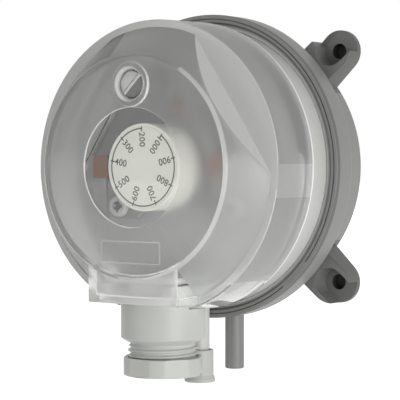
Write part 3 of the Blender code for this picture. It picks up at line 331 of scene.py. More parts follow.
def shaped(solid, additions=(), cuts=()):
    """One moulding: the solid with its additions fused on and its cuts taken out."""
    made = []

    def loose(part, group):
        mesh = bpy.data.meshes.new("shaping")
        part.to_mesh(mesh)
        part.free()
        made.append(bpy.data.objects.new("shaping", mesh))
        group.objects.link(made[-1])
        return made[-1]

    target = loose(solid, scene.collection)
    groups = []
    for operation, parts in (("UNION", additions), ("DIFFERENCE", cuts)):
        if not parts:
            continue
        group = bpy.data.collections.new("shaping")
        groups.append(group)
        scene.collection.children.link(group)
        for part in parts:
            loose(part, group)
        modifier = target.modifiers.new(operation, "BOOLEAN")
        modifier.operation = operation
        modifier.operand_type = "COLLECTION"
        modifier.collection = group
        modifier.solver = "EXACT"
    bpy.context.view_layer.update()
    evaluated = target.evaluated_get(bpy.context.evaluated_depsgraph_get())
    result = bmesh.new()
    result.from_mesh(evaluated.to_mesh())
    evaluated.to_mesh_clear()
    for part in made:
        bpy.data.objects.remove(part)
    for group in groups:
        bpy.data.collections.remove(group)
    return result


def add_piece(name, made, materials, body, replaced=()):
    """Turn a bmesh in millimetres into a piece in metres that rides on its body."""
    made.transform(Matrix.Scale(0.001, 4))
    mesh = bpy.data.meshes.new(name)
    made.to_mesh(mesh)
    made.free()
    mesh.shade_smooth()
    mesh.set_sharp_from_angle(angle=crease)
    for material in materials:
        mesh.materials.append(material)
    piece = bpy.data.objects.new(name, mesh)
    scene.collection.objects.link(piece)
    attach(piece, body)
    if replaced:
        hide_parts(*replaced)
    return piece


def new_group(name, colours, values=()):
    """A shader node group, and what its inputs bring."""
    group = bpy.data.node_groups.new(name, "ShaderNodeTree")
    for labels, kind in ((colours, "NodeSocketColor"), (values, "NodeSocketFloat")):
        for label in labels:
            group.interface.new_socket(label, in_out="INPUT", socket_type=kind)
    return group, group.nodes.new("NodeGroupInput").outputs


def give(group, **results):
    """Finish a group with what it puts out."""
    kinds = {"Colour": "NodeSocketColor", "Roughness": "NodeSocketFloat",
             "Normal": "NodeSocketVector"}
    for name in results:
        group.interface.new_socket(name, in_out="OUTPUT", socket_type=kinds[name])
    end = group.nodes.new("NodeGroupOutput")
    for name, result in results.items():
        group.links.new(result, end.inputs[name])
    return group


def place_on(tree):
    """The place of a point in the object's own frame, in metres."""
    return add_node(tree, "TexCoord").outputs["Object"]


def vector_sum(tree, operation, *terms):
    """One sum over vectors, which gives a value or a vector."""
    node = add_node(tree, "VectorMath", enumerate(terms), operation=operation)
    return node.outputs["Value" if operation in ("LENGTH", "DOT_PRODUCT") else "Vector"]


def noise(tree, place, scale, detail, output="Fac"):
    settings = {"Vector": place, "Scale": scale, "Detail": detail}
    return add_node(tree, "TexNoise", settings).outputs[output]


def ramp(tree, value, low, high, start=0.0, end=1.0, **settings):
    """Carry a value from the range low to high over to the range start to end."""
    return add_node(tree, "MapRange", {
        "Value": value, "From Min": low, "From Max": high, "To Min": start, "To Max": end,
    }, **settings).outputs[0]


def bumped(tree, distance, strength, height):
    inputs = {"Distance": distance, "Strength": strength, "Height": height}
    return add_node(tree, "Bump", inputs).outputs[0]


def blended(tree, share, first, second):
    """The first colour, and the second where the share is 1."""
    mixed = {"Factor": share, 6: first, 7: second}
    return add_node(tree, "Mix", mixed, data_type="RGBA").outputs[2]


# A moulded skin: slow random drifts of tone, a fine spark-eroded grain and paler edges, which are
# a painted highlight.
tree, taken = new_group(
    "moulded_skin", ["Colour"], ["Drift", "Edge Lift", "Grain Size", "Grain Depth", "Roughness"])
place = place_on(tree)
grain_scale = sum_of(tree, "DIVIDE", 1000.0, taken["Grain Size"])
fine = noise(tree, place, grain_scale, 2.0)
drift = sum_of(tree, "SUBTRACT", noise(tree, place, 90.0, 3.0), 0.5)
shade = sum_of(tree, "MULTIPLY_ADD", drift, taken["Drift"], 1.0)
# Painted highlight: edges found by pointiness are painted paler.
pointed = add_node(tree, "NewGeometry").outputs["Pointiness"]
edge_highlight = ramp(tree, pointed, 0.52, 0.62)
shade = sum_of(tree, "MULTIPLY_ADD", edge_highlight, taken["Edge Lift"], shade)
dull = ramp(tree, fine, 0.0, 1.0, -0.06, 0.06)
moulded_skin = give(tree, Colour=vector_sum(tree, "MULTIPLY", taken["Colour"], shade),
                    Roughness=sum_of(tree, "ADD", dull, taken["Roughness"]),
                    Normal=bumped(tree, 0.00004, taken["Grain Depth"], fine))


def finished(name, skin_group, values, plain=()):
    """A material with the colour, roughness and normal of a skin, and plain values."""
    material = bpy.data.materials.new(name)
    material.use_nodes = True
    tree = material.node_tree
    shader = tree.nodes["Principled BSDF"]
    for socket, value in dict(plain).items():
        shader.inputs[socket].default_value = value
    skin = add_node(tree, "Group", values, node_tree=skin_group)
    for output in skin.outputs:
        socket = {"Colour": "Base Color"}.get(output.name, output.name)
        tree.links.new(output, shader.inputs[socket])
    return material


def plastic(name, colour, roughness, drift, edge_lift, grain=(0.25, 0.3)):
    """A moulded plastic or rubber. The grain is its size in millimetres and its depth."""
    return finished(name, moulded_skin, {
        "Colour": (*colour, 1), "Drift": drift, "Edge Lift": edge_lift, "Grain Size": grain[0],
        "Grain Depth": grain[1], "Roughness": roughness})


def toned(material, group, *colours):
    """Let a material's skin take its colour from a group that mixes these."""
    tree = material.node_tree
    values = {index: (*colour, 1) for index, colour in enumerate(colours)}
    tone = add_node(tree, "Group", values, node_tree=group)
    tree.links.new(tone.outputs["Colour"], tree.nodes["Group"].inputs["Colour"])


base_grey = (0.225, 0.225, 0.218)
base_grain = (0.22, 0.45)
grey_nylon = plastic("grey_nylon", base_grey, 0.42, 0.1, 0.12, base_grain)

# Painted light and shade on the lip over the body's tabs: next to the body it is painted paler,
# as light from the white body, and outwards painted darker, as the shade in the crevice.
tree, taken = new_group("lip_painted_shading", ["Colour"])
place = place_on(tree)
reach = vector_sum(tree, "LENGTH", vector_sum(tree, "MULTIPLY", place, (1, 0, 1)))
shade = ramp(tree, reach, 0.0388, 0.0400, 2.6, 0.5)
depth_axis = add_node(tree, "SeparateXYZ", {"Vector": place}).outputs["Y"]
on_lip = sum_of(tree, "COMPARE", depth_axis, -0.001 * (rim_front - lip_sink), 0.0006)
shade = add_node(tree, "Mix", {"Factor": on_lip, "A": 1.0, "B": shade}).outputs[0]
lip_painted_shading = give(tree, Colour=vector_sum(tree, "MULTIPLY", taken["Colour"], shade))
toned(grey_nylon, lip_painted_shading, base_grey)


def hose_spigot(depth, root):
    """A hose spigot below a round body, and its bore."""
    spigot = turned([(0, spigot_end), (spigot_radius, spigot_end, 0.45), (spigot_radius, -root),
                     (0, -root)], 48, "Z")
    bore = rod(spigot_bore, spigot_end - 1, -chamber_radius + 2, 32, axis="Z")
    return placed(spigot, depth=depth), placed(bore, depth=depth)


base_profile = [
    (0, 0), (recess[0], 0, 0.2), (recess[0], recess[2], 0.2),
    (recess[1], recess[2], 0.3), (recess[1], 0, 0.3), (back_radius, 0, 0.8),
    (back_radius, rim_rear, 0.6), (rim_radius, rim_rear, 0.8), (rim_radius, rim_front, 0.5),
    (ridge[0], rim_front, 0.3), (ridge[0], rim_front - lip_sink, 0.2),
    (bore_radius, rim_front - lip_sink, 0.2), (bore_radius, lip_rear),
    (undercut, lip_rear), (undercut, membrane_seat),
    (chamber_radius, membrane_seat, 0.3), (chamber_radius, rear_wall, 1.0),
    (stop_radius, rear_wall, 0.5), (stop_radius, stop_front, 0.3), (0, stop_front),
]
base_additions, base_cuts = [], []
for side_x, side_z in lug_sides:
    x, z = side_x * lug_place, side_z * lug_place
    turn = math.degrees(math.atan2(side_z, side_x))
    root = (back_radius + chamber_radius) / 2 - math.hypot(x, z)
    outline = arc(lug_half, -90, 90, 24) + [(root, lug_half), (root, -lug_half)]
    lug = prism(outline, 0, lug_height, 0.35, foot=lug_foot)
    for corner in lug.verts:
        if corner.co.y < -lug_floor:
            corner.co.y += corner.co.x * math.tan(math.radians(lug_slope))
    base_additions.append(placed(lug, x, 0, z, turn))
    depths = (lug_floor, rim_rear - gap)
    beyond = 2 * lug_half
    rooms = [prism(box_outline(0, beyond, -lug_pocket, lug_pocket), *depths),
             rod(lug_pocket, *depths, 64), rod(lug_hole, lug_web[1], lug_floor + gap),
             rod(lug_hole, -gap, lug_web[0])]
    if side_z > 0:
        open_side = box_outline(-lug_wall_end, beyond, *sorted((0, side_x * beyond)))
        rooms.append(prism(open_side, *depths))
    base_cuts += [placed(room, x, 0, z, turn) for room in rooms]
for around in groove_sweeps:
    groove = arc(rim_groove[1], *around, 120) + arc(rim_groove[0], *around[::-1], 120)
    base_cuts.append(prism(groove, rim_front - rim_groove[2], rim_front + gap))
spigot, bore = hose_spigot(rear_port_depth, (chamber_radius + back_radius) / 2)
base_additions.append(spigot)
base_cuts.append(bore)
base_solid = shaped(turned(base_profile), base_additions, base_cuts)
# Painted shade: the lugs' pockets, holes and outer faces take darker copies of the grey nylon.
base_looks = [
    grey_nylon, plastic("shaded_pocket", (0.15, 0.15, 0.145), 0.5, 0.1, 0.0, base_grain),
    plastic("shaded_hole", (0.03, 0.03, 0.029), 0.6, 0.1, 0.0, base_grain),
    plastic("shaded_lug_nylon", (0.105, 0.105, 0.102), 0.46, 0.1, 0.12, base_grain),
]
in_pocket, in_hole, on_lug = 1, 2, 3
margin = 0.05
# Faces in the lugs' holes and pockets and on their outer faces get the painted shade.
for face in base_solid.faces:
    centre = face.calc_center_median()
    depth = -centre.y
    before_rim = depth < rim_rear - 2 * gap
    for side_x, side_z in lug_sides:
        away = Vector((centre.x - side_x * lug_place, centre.z - side_z * lug_place))
        outwards = Vector((side_x, side_z)).normalized()
        along = away.dot(outwards)
        across = abs(away.cross(outwards))
        over_pocket = across < lug_pocket + margin and -lug_pocket - margin < along < lug_half
        if away.length < lug_hole + margin and depth < lug_floor - 0.01:
            face.material_index = in_hole
        elif over_pocket and lug_floor - margin < depth and before_rim:
            face.material_index = in_pocket
        elif away.length < 2 * lug_half and before_rim and face.normal.y < 0.5:
            face.material_index = face.material_index or on_lug
add_piece("base_moulding", base_solid, base_looks, "housing", ["base_housing"])


# Upper body
# The front half, moulded in white nylon. Four tabs lock it under the rim's lip, its panel
# carries the switch, a post takes the cover's screw and a shelf holds the cable gland.
cover_rear = 30.8
panel_front = 34.0
panel_rear = 31.0
cover_inner = 38.04
spigot_wall = cover_inner - fit
seal_wire = 0.7
seal_depth = 32.4
groove_half = 1.0
post_radius = 4.2
post_front = 45.5
post_mouth = (3.3, 2.3, 0.8)
post_end_radius = 4.0
screw_height = 21.8
screw_shank = 1.8
shelf_top = -31.0
shelf_bottom = -33.7
shelf_half = 12.5
front_face = 57.9
cover_wall = 1.8
gland_depth = 43.4
gland_neck = 9.2
gland_radius = 11.4
front_port_depth = 25.95
hub = (6.0, 4.0)
rod_clearance = 2.5
carrier_screw_place = (19.4, -11.0)
carrier_screw_hole = 1.6
tab_turns = (0, 90, 180, 270)
tab_half = 13
tab_proud = 1.2
panel_lip = (1.8, 0.7)
panel_bite = 1.5
flat_turns = (33, 147)
rib_reach = (28.0, 29.1)
rib_half = 17.5
rib_proud = 0.6
satin_grain = (0.3, 0.2)

body_white = (0.56, 0.565, 0.54)
white_nylon = plastic("white_nylon", (0.60, 0.60, 0.565), 0.42, 0.07, 0.06, satin_grain)
body_nylon = plastic("body_nylon", body_white, 0.42, 0.07, 0.06, satin_grain)

# The panel between the two ribs and the end of the screw's post are painted grey on the white
# moulding: painted shade for the shade under the cover. The panel is paler towards its lower
# right, as painted light.
tree, taken = new_group("painted_shade_panel", ["Colour", "Painted Shade"])
place = place_on(tree)
depth_axis = add_node(tree, "SeparateXYZ", {"Vector": place}).outputs["Y"]
in_painted_shade = sum_of(tree, "LESS_THAN", depth_axis, -0.001 * (panel_front - 1))
for turn in flat_turns:
    facing = (math.cos(math.radians(turn)), 0, math.sin(math.radians(turn)))
    reach = vector_sum(tree, "DOT_PRODUCT", place, facing)
    inside = sum_of(tree, "LESS_THAN", reach, 0.001 * rib_reach[0])
    in_painted_shade = sum_of(tree, "MULTIPLY", in_painted_shade, inside)
# Painted light: the painted shade grows paler towards the lower right.
slant = vector_sum(tree, "DOT_PRODUCT", place, (0.5, 0, -0.85))
paler = ramp(tree, slant, -0.02, 0.015, 1.0, 1.7)
dull = vector_sum(tree, "MULTIPLY", taken["Painted Shade"], paler)
painted_shade_panel = give(tree, Colour=blended(tree, in_painted_shade, taken["Colour"], dull))
toned(body_nylon, painted_shade_panel, body_white, (0.27, 0.275, 0.265))

groove = cover_inner - gap - 2 * seal_wire - gap
body_profile = [
    (chamber_radius, tab_rear), (body_radius, tab_rear), (body_radius, cover_rear - gap, 0.35),
    (spigot_wall, cover_rear - gap, 0.1), (spigot_wall, seal_depth - groove_half, 0.15),
    (groove, seal_depth - groove_half, 0.2), (groove, seal_depth + groove_half, 0.2),
    (spigot_wall, seal_depth + groove_half, 0.15), (spigot_wall, panel_front, 0.4),
    (spigot_wall - panel_lip[0], panel_front, 0.2),
    (spigot_wall - panel_lip[0], panel_front - panel_lip[1], 0.2),
    (rod_clearance, panel_front - panel_lip[1]), (rod_clearance, panel_rear - hub[1]),
    (hub[0], panel_rear - hub[1], 0.3), (hub[0], panel_rear, 0.5),
    (chamber_radius, panel_rear, 0.5),
]
panel_inside = panel_front - panel_bite
mouth_floor = post_front - post_mouth[2]
post = turned([(0, panel_inside), (post_radius, panel_inside), (post_radius, post_front, 0.4),
               (post_mouth[0], post_front), (post_mouth[1], mouth_floor), (0, mouth_floor)], 64)
shelf = prism(box_outline(-shelf_half, shelf_half, shelf_bottom, shelf_top),
              panel_inside, front_face - cover_wall - gap, 0.3)
body_additions = [placed(post, z=screw_height)]
for turn in tab_turns:
    tab = (arc(body_radius + tab_proud, -tab_half, tab_half, 12)
           + arc(body_radius - 1, tab_half, -tab_half, 12))
    body_additions.append(placed(prism(tab, tab_rear, tab_rear + tab_proud, 0.15), turn=turn))
body_additions.append(shelf)
for turn in flat_turns:
    rib = prism(box_outline(*rib_reach, -rib_half, rib_half, 0.4), panel_inside,
                panel_front + rib_proud, 0.3)
    body_additions.append(placed(rib, turn=turn))
notch_half = gland_neck + gap
notch = prism(arc(notch_half, 0, 180, 32) + [(-notch_half, -20), (notch_half, -20)],
              shelf_bottom - gap, shelf_top + gap, axis="Z")
gland_room = rod(gland_radius + fit, -rim_radius, shelf_bottom - gap / 2, 96, axis="Z")
post_hole = rod(screw_shank + gap, panel_front + 1, post_front + gap, 32)
body_cuts = [placed(notch, depth=gland_depth), placed(gland_room, depth=gland_depth),
             placed(post_hole, z=screw_height)]
for side in (-1, 1):
    screw_hole = rod(carrier_screw_hole, panel_rear + 0.6, panel_front + gap, 32)
    body_cuts.append(
        placed(screw_hole, side * carrier_screw_place[0], 0, carrier_screw_place[1]))
spigot, bore = hose_spigot(front_port_depth, (chamber_radius + body_radius) / 2)
body_additions.append(spigot)
body_cuts.append(bore)
body_solid = shaped(turned(body_profile, closed=True), body_additions, body_cuts)
# Painted shade: the end and bore of the screw's post are painted near-black, and the upper barrel
# by the cover's seal dark grey, where shade falls under the cover.
body_looks = [body_nylon, plastic("shaded_bore", (0.03, 0.03, 0.03), 0.6, 0.1, 0.0),
              plastic("shaded_seal", (0.05, 0.05, 0.049), 0.6, 0.02, 0.0)]
in_bore, by_seal = 1, 2
for face in body_solid.faces:
    centre = face.calc_center_median()
    depth = -centre.y
    from_post = math.hypot(centre.x, centre.z - screw_height)
    if from_post < post_end_radius and panel_front < depth < post_front + gap:
        face.material_index = in_bore
    at_seal = seal_depth - 1.2 < depth < panel_front + gap
    if at_seal and math.hypot(centre.x, centre.z) > groove - 0.1 and centre.z > 3:
        face.material_index = by_seal
add_piece("body_moulding", body_solid, body_looks, "housing", ["upper_body"])


# Works inside the cover
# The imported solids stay: diaphragm and plates, seal, switch carrier, terminals, rivets, blade,
# spring and screws. A small bevel rounds their stamped and moulded edges.
tree, taken = new_group("drawn_metal", ["Colour", "Tarnish"], ["Tarnish Share", "Roughness"])
place = place_on(tree)
drawn_out = add_node(tree, "Mapping",
                     {"Vector": place, "Scale": (300.0, 300.0, 9000.0)}).outputs[0]
lines = noise(tree, drawn_out, 1.0, 2.0)
cloud = ramp(tree, noise(tree, place, 350.0, 4.0), 0.4, 0.65)
cloud = sum_of(tree, "MULTIPLY", cloud, taken["Tarnish Share"])
rough = ramp(tree, lines, 0.0, 1.0, -0.05, 0.15)
drawn_metal = give(tree, Colour=blended(tree, cloud, taken["Colour"], taken["Tarnish"]),
                   Roughness=sum_of(tree, "ADD", rough, taken["Roughness"]),
                   Normal=bumped(tree, 0.00003, 0.2, lines))


def metal(name, colour, tarnish, share, roughness):
    """Rolled, drawn or plated metal, with fine lines and drifts of tarnish."""
    return finished(name, drawn_metal, {
        "Colour": (*colour, 1), "Tarnish": (*tarnish, 1), "Tarnish Share": share,
        "Roughness": roughness}, {"Metallic": 1.0})


# Tin plate that has worn through to dark copper-brown brass in three places, each given by
# its middle and its half size across and up in millimetres.
worn_patches = ((-18.8, 0.3, 3.0, 3.4), (18.8, 0.6, 2.7, 3.0), (5.0, 15.8, 2.1, 2.6))
tree, taken = new_group("worn_tin", ["Plate", "Bare"])
place = place_on(tree)
ragged = noise(tree, place, 700.0, 2.0, "Color")
ragged = vector_sum(tree, "SUBTRACT", ragged, (0.5,) * 3)
ragged = vector_sum(tree, "MULTIPLY_ADD", ragged, (0.0008,) * 3, place)
axes = add_node(tree, "SeparateXYZ", {"Vector": ragged}).outputs
worn = 0.0
for x, z, half_x, half_z in worn_patches:
    within_x = sum_of(tree, "COMPARE", axes["X"], 0.001 * x, 0.001 * half_x)
    within_z = sum_of(tree, "COMPARE", axes["Z"], 0.001 * z, 0.001 * half_z)
    worn = sum_of(tree, "MULTIPLY_ADD", within_x, within_z, worn)
worn_tin = give(tree, Colour=blended(tree, worn, taken["Plate"], taken["Bare"]))

tin_grey = (0.34, 0.34, 0.33)
brass = metal("tinned_brass", tin_grey, (0.22, 0.21, 0.20), 0.5, 0.5)
toned(brass, worn_tin, tin_grey, (0.32, 0.13, 0.065))
bare_brass = metal("bare_brass", (0.34, 0.15, 0.08), (0.22, 0.1, 0.06), 0.4, 0.5)
spring_copper = metal("spring_copper", (0.70, 0.40, 0.24), (0.38, 0.2, 0.12), 0.4, 0.3)
silver = metal("contact_silver", (0.50, 0.49, 0.46), (0.35, 0.32, 0.28), 0.4, 0.5)
steel = metal("zinc_plated_steel", (0.60, 0.61, 0.60), (0.42, 0.42, 0.40), 0.4, 0.34)
silicone = plastic("silicone_rubber", (0.33, 0.11, 0.07), 0.62, 0.12, 0.05, (0.15, 0.3))
black_rubber = plastic("black_rubber", (0.028, 0.028, 0.028), 0.6, 0.2, 0.1, (0.12, 0.4))
light_grey_nylon = plastic("light_grey_nylon", (0.52, 0.53, 0.50), 0.42, 0.06, 0.05,
                           satin_grain)

# The carrier's screws have a light head round a near-black disc of painted shade, which stands
# for the shadow in their recess.
tree, taken = new_group("painted_recess_shade", ["Head", "Recess"])
screw_middle = (0.001 * carrier_screw_place[0], 0, -0.001 * carrier_screw_place[1])
folded = vector_sum(tree, "ABSOLUTE", place_on(tree))
shifted = vector_sum(tree, "SUBTRACT", folded, screw_middle)
reach = vector_sum(tree, "LENGTH", vector_sum(tree, "MULTIPLY", shifted, (1, 0, 1)))
on_head = ramp(tree, reach, 0.0011, 0.0015)
painted_recess_shade = give(tree, Colour=blended(tree, on_head, taken["Recess"], taken["Head"]))
head_steel = (0.55, 0.555, 0.54)
ringed_steel = plastic("ringed_steel", head_steel, 0.5, 0.1, 0.0, satin_grain)
toned(ringed_steel, painted_recess_shade, head_steel, (0.04, 0.04, 0.04))
carrier_nylon = plastic("carrier_nylon", (0.28, 0.28, 0.27), 0.5, 0.1, 0.05, satin_grain)
ivory_nylon = plastic("ivory_nylon", (0.84, 0.835, 0.76), 0.4, 0.05, 0.04, (0.3, 0.15))

weld_reach = 0.000001
bevel_from = math.radians(40)

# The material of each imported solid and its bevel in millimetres. Without one it is smoothed.
carried_over = (
    (silicone, 0.1, "diaphragm"), (steel, 0.12, "front_diaphragm_plate"),
    (white_nylon, 0.12, "plunger"), (white_nylon, 0.1, "spring_cup", "gland_washer"),
    (ivory_nylon, 0.1, "spring_seat"), (steel, 0, "range_spring"),
    (black_rubber, 0, "cover_seal"), (carrier_nylon, 0.15, "switch_carrier"),
    (ringed_steel, 0.12, "carrier_screw_left", "carrier_screw_right"),
    (brass, 0.08, "common_terminal", "normally_closed_terminal", "normally_open_terminal"),
    (bare_brass, 0.08, "common_rivet", "closed_rivet", "open_rivet"),
    (spring_copper, 0.04, "contact_blade"), (silver, 0.08, "moving_contact"),
)
for material, bevel, *names in carried_over:
    for node in [nodes[name] for name in names]:
        for material_slot in node.material_slots:
            material_slot.material = material
        weld = node.modifiers.new("weld", "WELD")
        weld.merge_threshold = weld_reach
        if bevel:
            rounding = node.modifiers.new("rounding", "BEVEL")
            rounding.width = bevel * 0.001
            rounding.segments = 2
            rounding.limit_method = "ANGLE"
            rounding.angle_limit = bevel_from
            rounding.harden_normals = True
        else:
            smoothing = node.modifiers.new("smoothing", "SUBSURF")
            smoothing.levels = smoothing.render_levels = 2


# Setting dial
# A white cup that turns on the tower, moulded in warm white nylon, with a printed disc in its
# top: an open ring of 322 degrees with nine ticks, and plain numbers that read inwards.
dial_radius = 11.7
dial_front = 52.0
dial_height = 10.0
dial_inner = 9.4
stem_radius = 2.6
stem_rear = 46.2
dial_top = 2.0
disc_radius = 10.9
disc_thickness = 0.4
disc_rear = dial_front - disc_thickness
disc_seat = disc_rear - gap
disc_bore = disc_radius + 0.05
ink_height = 0.03
tick_turns = (92, 132, 171, 212, 252, 294, 333, 374, 414)
tick_values = range(200, 1001, 100)
ring_line = (10.15, 10.5)
tick_line = (9.5, 10.85)
tick_half = 0.17
number_size = 2.55
number_radius = 7.4
number_bold = 0.03
number_spacing = 1.05

dial_profile = [
    (0, stem_rear), (stem_radius, stem_rear, 0.2), (stem_radius, dial_front - dial_top, 0.3),
    (dial_inner, dial_front - dial_top, 0.3), (dial_inner, dial_front - dial_height, 0.15),
    (dial_radius, dial_front - dial_height, 0.3), (dial_radius, dial_front, 0.35),
    (disc_bore, dial_front, 0.1), (disc_bore, disc_seat), (0, disc_seat),
]
add_piece("dial_cup", turned(dial_profile), [ivory_nylon], "dial", ["dial_knob"])

disc_white = plastic("disc_white", (0.80, 0.80, 0.73), 0.36, 0.03, 0.0, (0.4, 0.08))
disc_profile = [(0, disc_rear), (disc_radius, disc_rear), (disc_radius, dial_front, 0.1),
                (0, dial_front)]
add_piece("dial_disc", turned(disc_profile), [disc_white], "dial", ["dial_scale"])
ink_print = bmesh.new()


def inked(outline):
    return prism(outline, dial_front, dial_front + ink_height)


def print_on(part):
    mesh = bpy.data.meshes.new("print")
    part.to_mesh(mesh)
    part.free()
    ink_print.from_mesh(mesh)
    bpy.data.meshes.remove(mesh)


sweep = (tick_turns[0], tick_turns[-1])
print_on(inked(arc(ring_line[1], *sweep, 120) + arc(ring_line[0], *sweep[::-1], 120)))
for turn, value in zip(tick_turns, tick_values):
    print_on(placed(inked(box_outline(*tick_line, -tick_half, tick_half)), turn=turn))
    words = bpy.data.curves.new("number", "FONT")
    words.body = str(value)
    words.size = number_size
    words.align_x = words.align_y = "CENTER"
    words.extrude = ink_height
    words.offset = number_bold
    words.space_character = number_spacing
    text = bpy.data.objects.new("number", words)
    lettering = bmesh.new()
    lettering.from_mesh(text.to_mesh())
    text.to_mesh_clear()
    bpy.data.objects.remove(text)
    facing = Matrix.Rotation(math.radians(90), 4, "X")
    inwards = Matrix.Rotation(math.radians(180), 4, "Y")
    lettering.transform(inwards @ facing)
    print_on(placed(placed(lettering, number_radius, dial_front), turn=turn))
ink = plastic("printing_ink", (0.035, 0.036, 0.038), 0.4, 0.3, 0.0, (0.2, 0.3))
add_piece("dial_print", ink_print, [ink], "dial")


# Cover
# One clear polystyrene moulding: a drum, a coned nose with two flats, a chin over the gland and
# a boss for the screw. The tool was sparked dull, but polished inside and where one looks in.
cover_rear_radius = 39.84
rear_edge = 0.7
ledge_radius = 39.4
ledge = 48.0
cone_rear = 37.4
cone_front = 30.2
flat_reach = 30.5
front_band = 1.0
band_slope = 0.75
relief = 0.3
window_radius = 16.0
label_box = (-9.8, 9.0, -25.1, -19.7)
frame_width = 0.3
frame_depth = 0.1
chin_half = 14.7
chin_bottom = -36.2
chin_top = -22
chin_corner = 0.6
chin_setback = 0.5
boss_radius = 6.0
boss_proud = 0.6
column_radius = 3.4
well_radius = 4.0
well_floor = 55.0
grip_box = (37.9, 40.34, -3.7, 0.4)
gland_slot = gland_radius + fit
inner_ledge = ledge - cover_wall
inner_face = front_face - cover_wall
plate_edge = cone_front - front_band
polished_floor = front_face - 2 * relief
chin_front = front_face - chin_setback
boss_front = front_face + boss_proud
cover_segments = 256


def nose(profile, reach_of_flat, from_depth):
    """The nose is a cone that two flats cut into."""
    beyond = [prism(box_outline(reach_of_flat, rim_radius, -rim_radius, rim_radius),
                    from_depth, front_face + 1) for turn in flat_turns]
    return shaped(turned(profile, cover_segments),
                  cuts=[placed(room, turn=turn) for room, turn in zip(beyond, flat_turns)])


outer_profile = [
    (0, cover_rear), (cover_rear_radius, cover_rear, 0.2),
    (cover_rear_radius, cover_rear + rear_edge), (ledge_radius, ledge, 0.35),
    (cone_rear, ledge), (cone_front, front_face - band_slope),
    (plate_edge, front_face, 0.1), (plate_edge - 0.1, front_face - relief),
    (0, front_face - relief),
]
inner_profile = [
    (0, cover_rear - 2), (cover_inner, cover_rear - 2), (cover_inner, cover_rear),
    (ledge_radius - cover_wall, inner_ledge, 0.5), (cone_rear - cover_wall, inner_ledge),
    (cone_front - cover_wall, inner_face, 0.5), (0, inner_face),
]
outer = nose(outer_profile, flat_reach, ledge)
inner = nose(inner_profile, flat_reach - cover_wall, inner_ledge)
chin = prism(box_outline(-chin_half, chin_half, chin_bottom, chin_top, chin_corner),
             ledge - 1, chin_front, 0.4)
chin_room = prism(box_outline(-chin_half + cover_wall, chin_half - cover_wall,
                              chin_bottom + cover_wall, chin_top + 2, chin_corner),
                  inner_ledge - 2, chin_front - cover_wall, 0.4)
boss_column = placed(rod(column_radius, post_front + fit, front_face + 1, 96), z=screw_height)
hollow = shaped(shaped(inner, [chin_room]), cuts=[boss_column])
boss = placed(turned([(0, ledge), (boss_radius, ledge), (boss_radius, boss_front, 0.5),
                      (0, boss_front)], 96), z=screw_height)
grips = [prism(box_outline(*sorted((side * grip_box[0], side * grip_box[1])), *grip_box[2:], 0.2),
               cover_rear + gap, ledge - gap, 0.15) for side in (1, -1)]
slot_cut = prism(box_outline(-gland_slot, gland_slot, -rim_radius, shelf_bottom, 0.3),
                 cover_rear - gap, gland_depth + gland_slot)
window = turned([(0, polished_floor), (window_radius - 0.25, polished_floor),
                 (window_radius + 0.2, front_face), (0, front_face)])
label = prism(box_outline(*label_box, 0.3), polished_floor, front_face + gap)
frame_box = [side + step for side, step in zip(label_box, (-frame_width, frame_width) * 2)]
label_frame = prism(box_outline(*frame_box, 0.3), front_face - relief - frame_depth,
                    front_face + gap)
well = placed(turned([(0, well_floor), (well_radius, well_floor), (well_radius, front_face),
                      (well_radius + 0.8, boss_front + 0.1), (0, boss_front + 0.1)], 96),
              z=screw_height)
shank_hole = placed(rod(screw_shank + gap, post_front, front_face, 48), z=screw_height)
cover_solid = shaped(outer, [chin, boss] + grips,
                     [hollow, slot_cut, window, label, label_frame, well, shank_hole])

# Colour, clearness, roughness, smudges and the light passed.
# The sparked zones are copies of one finish with painted light and shade: the flats, shelf, lit
# edges and rear edge are painted paler, the left side, cone and drum darker, and the column's
# foot near-black.
finishes = {
    "clear_styrene": ((0.95, 0.955, 0.945), 0.97, 0.02, 0.0, 0.92),
    "sparked_plate": ((0.84, 0.845, 0.83), 0.87, 0.30, 0.05, 0.72),
    "sparked_cone": ((0.70, 0.705, 0.69), 0.78, 0.36, 0.05, 0.70),
    "sparked_drum": ((0.52, 0.525, 0.51), 0.76, 0.36, 0.05, 0.70),
    "sparked_flat_painted_light": ((0.82, 0.82, 0.81), 0.43, 0.34, 0.05, 0.60),
    "sparked_painted_highlight": ((0.86, 0.86, 0.84), 0.52, 0.30, 0.05, 0.60),
    "sparked_left_painted_shade": ((0.26, 0.265, 0.255), 0.94, 0.30, 0.05, 0.50),
    "sparked_shelf_painted_light": ((0.76, 0.76, 0.75), 0.46, 0.34, 0.05, 0.60),
    "sparked_rear_painted_highlight": ((0.96, 0.96, 0.95), 0.15, 0.30, 0.05, 0.60),
    "shaded_foot": ((0.06, 0.06, 0.06), 0.30, 0.40, 0.0, 0.30),
}
middle = Vector((0, -inner_ledge, 0))
near = 0.1
light_way = (0.94, -0.34)
lit_from = 6
shaded_before = -8


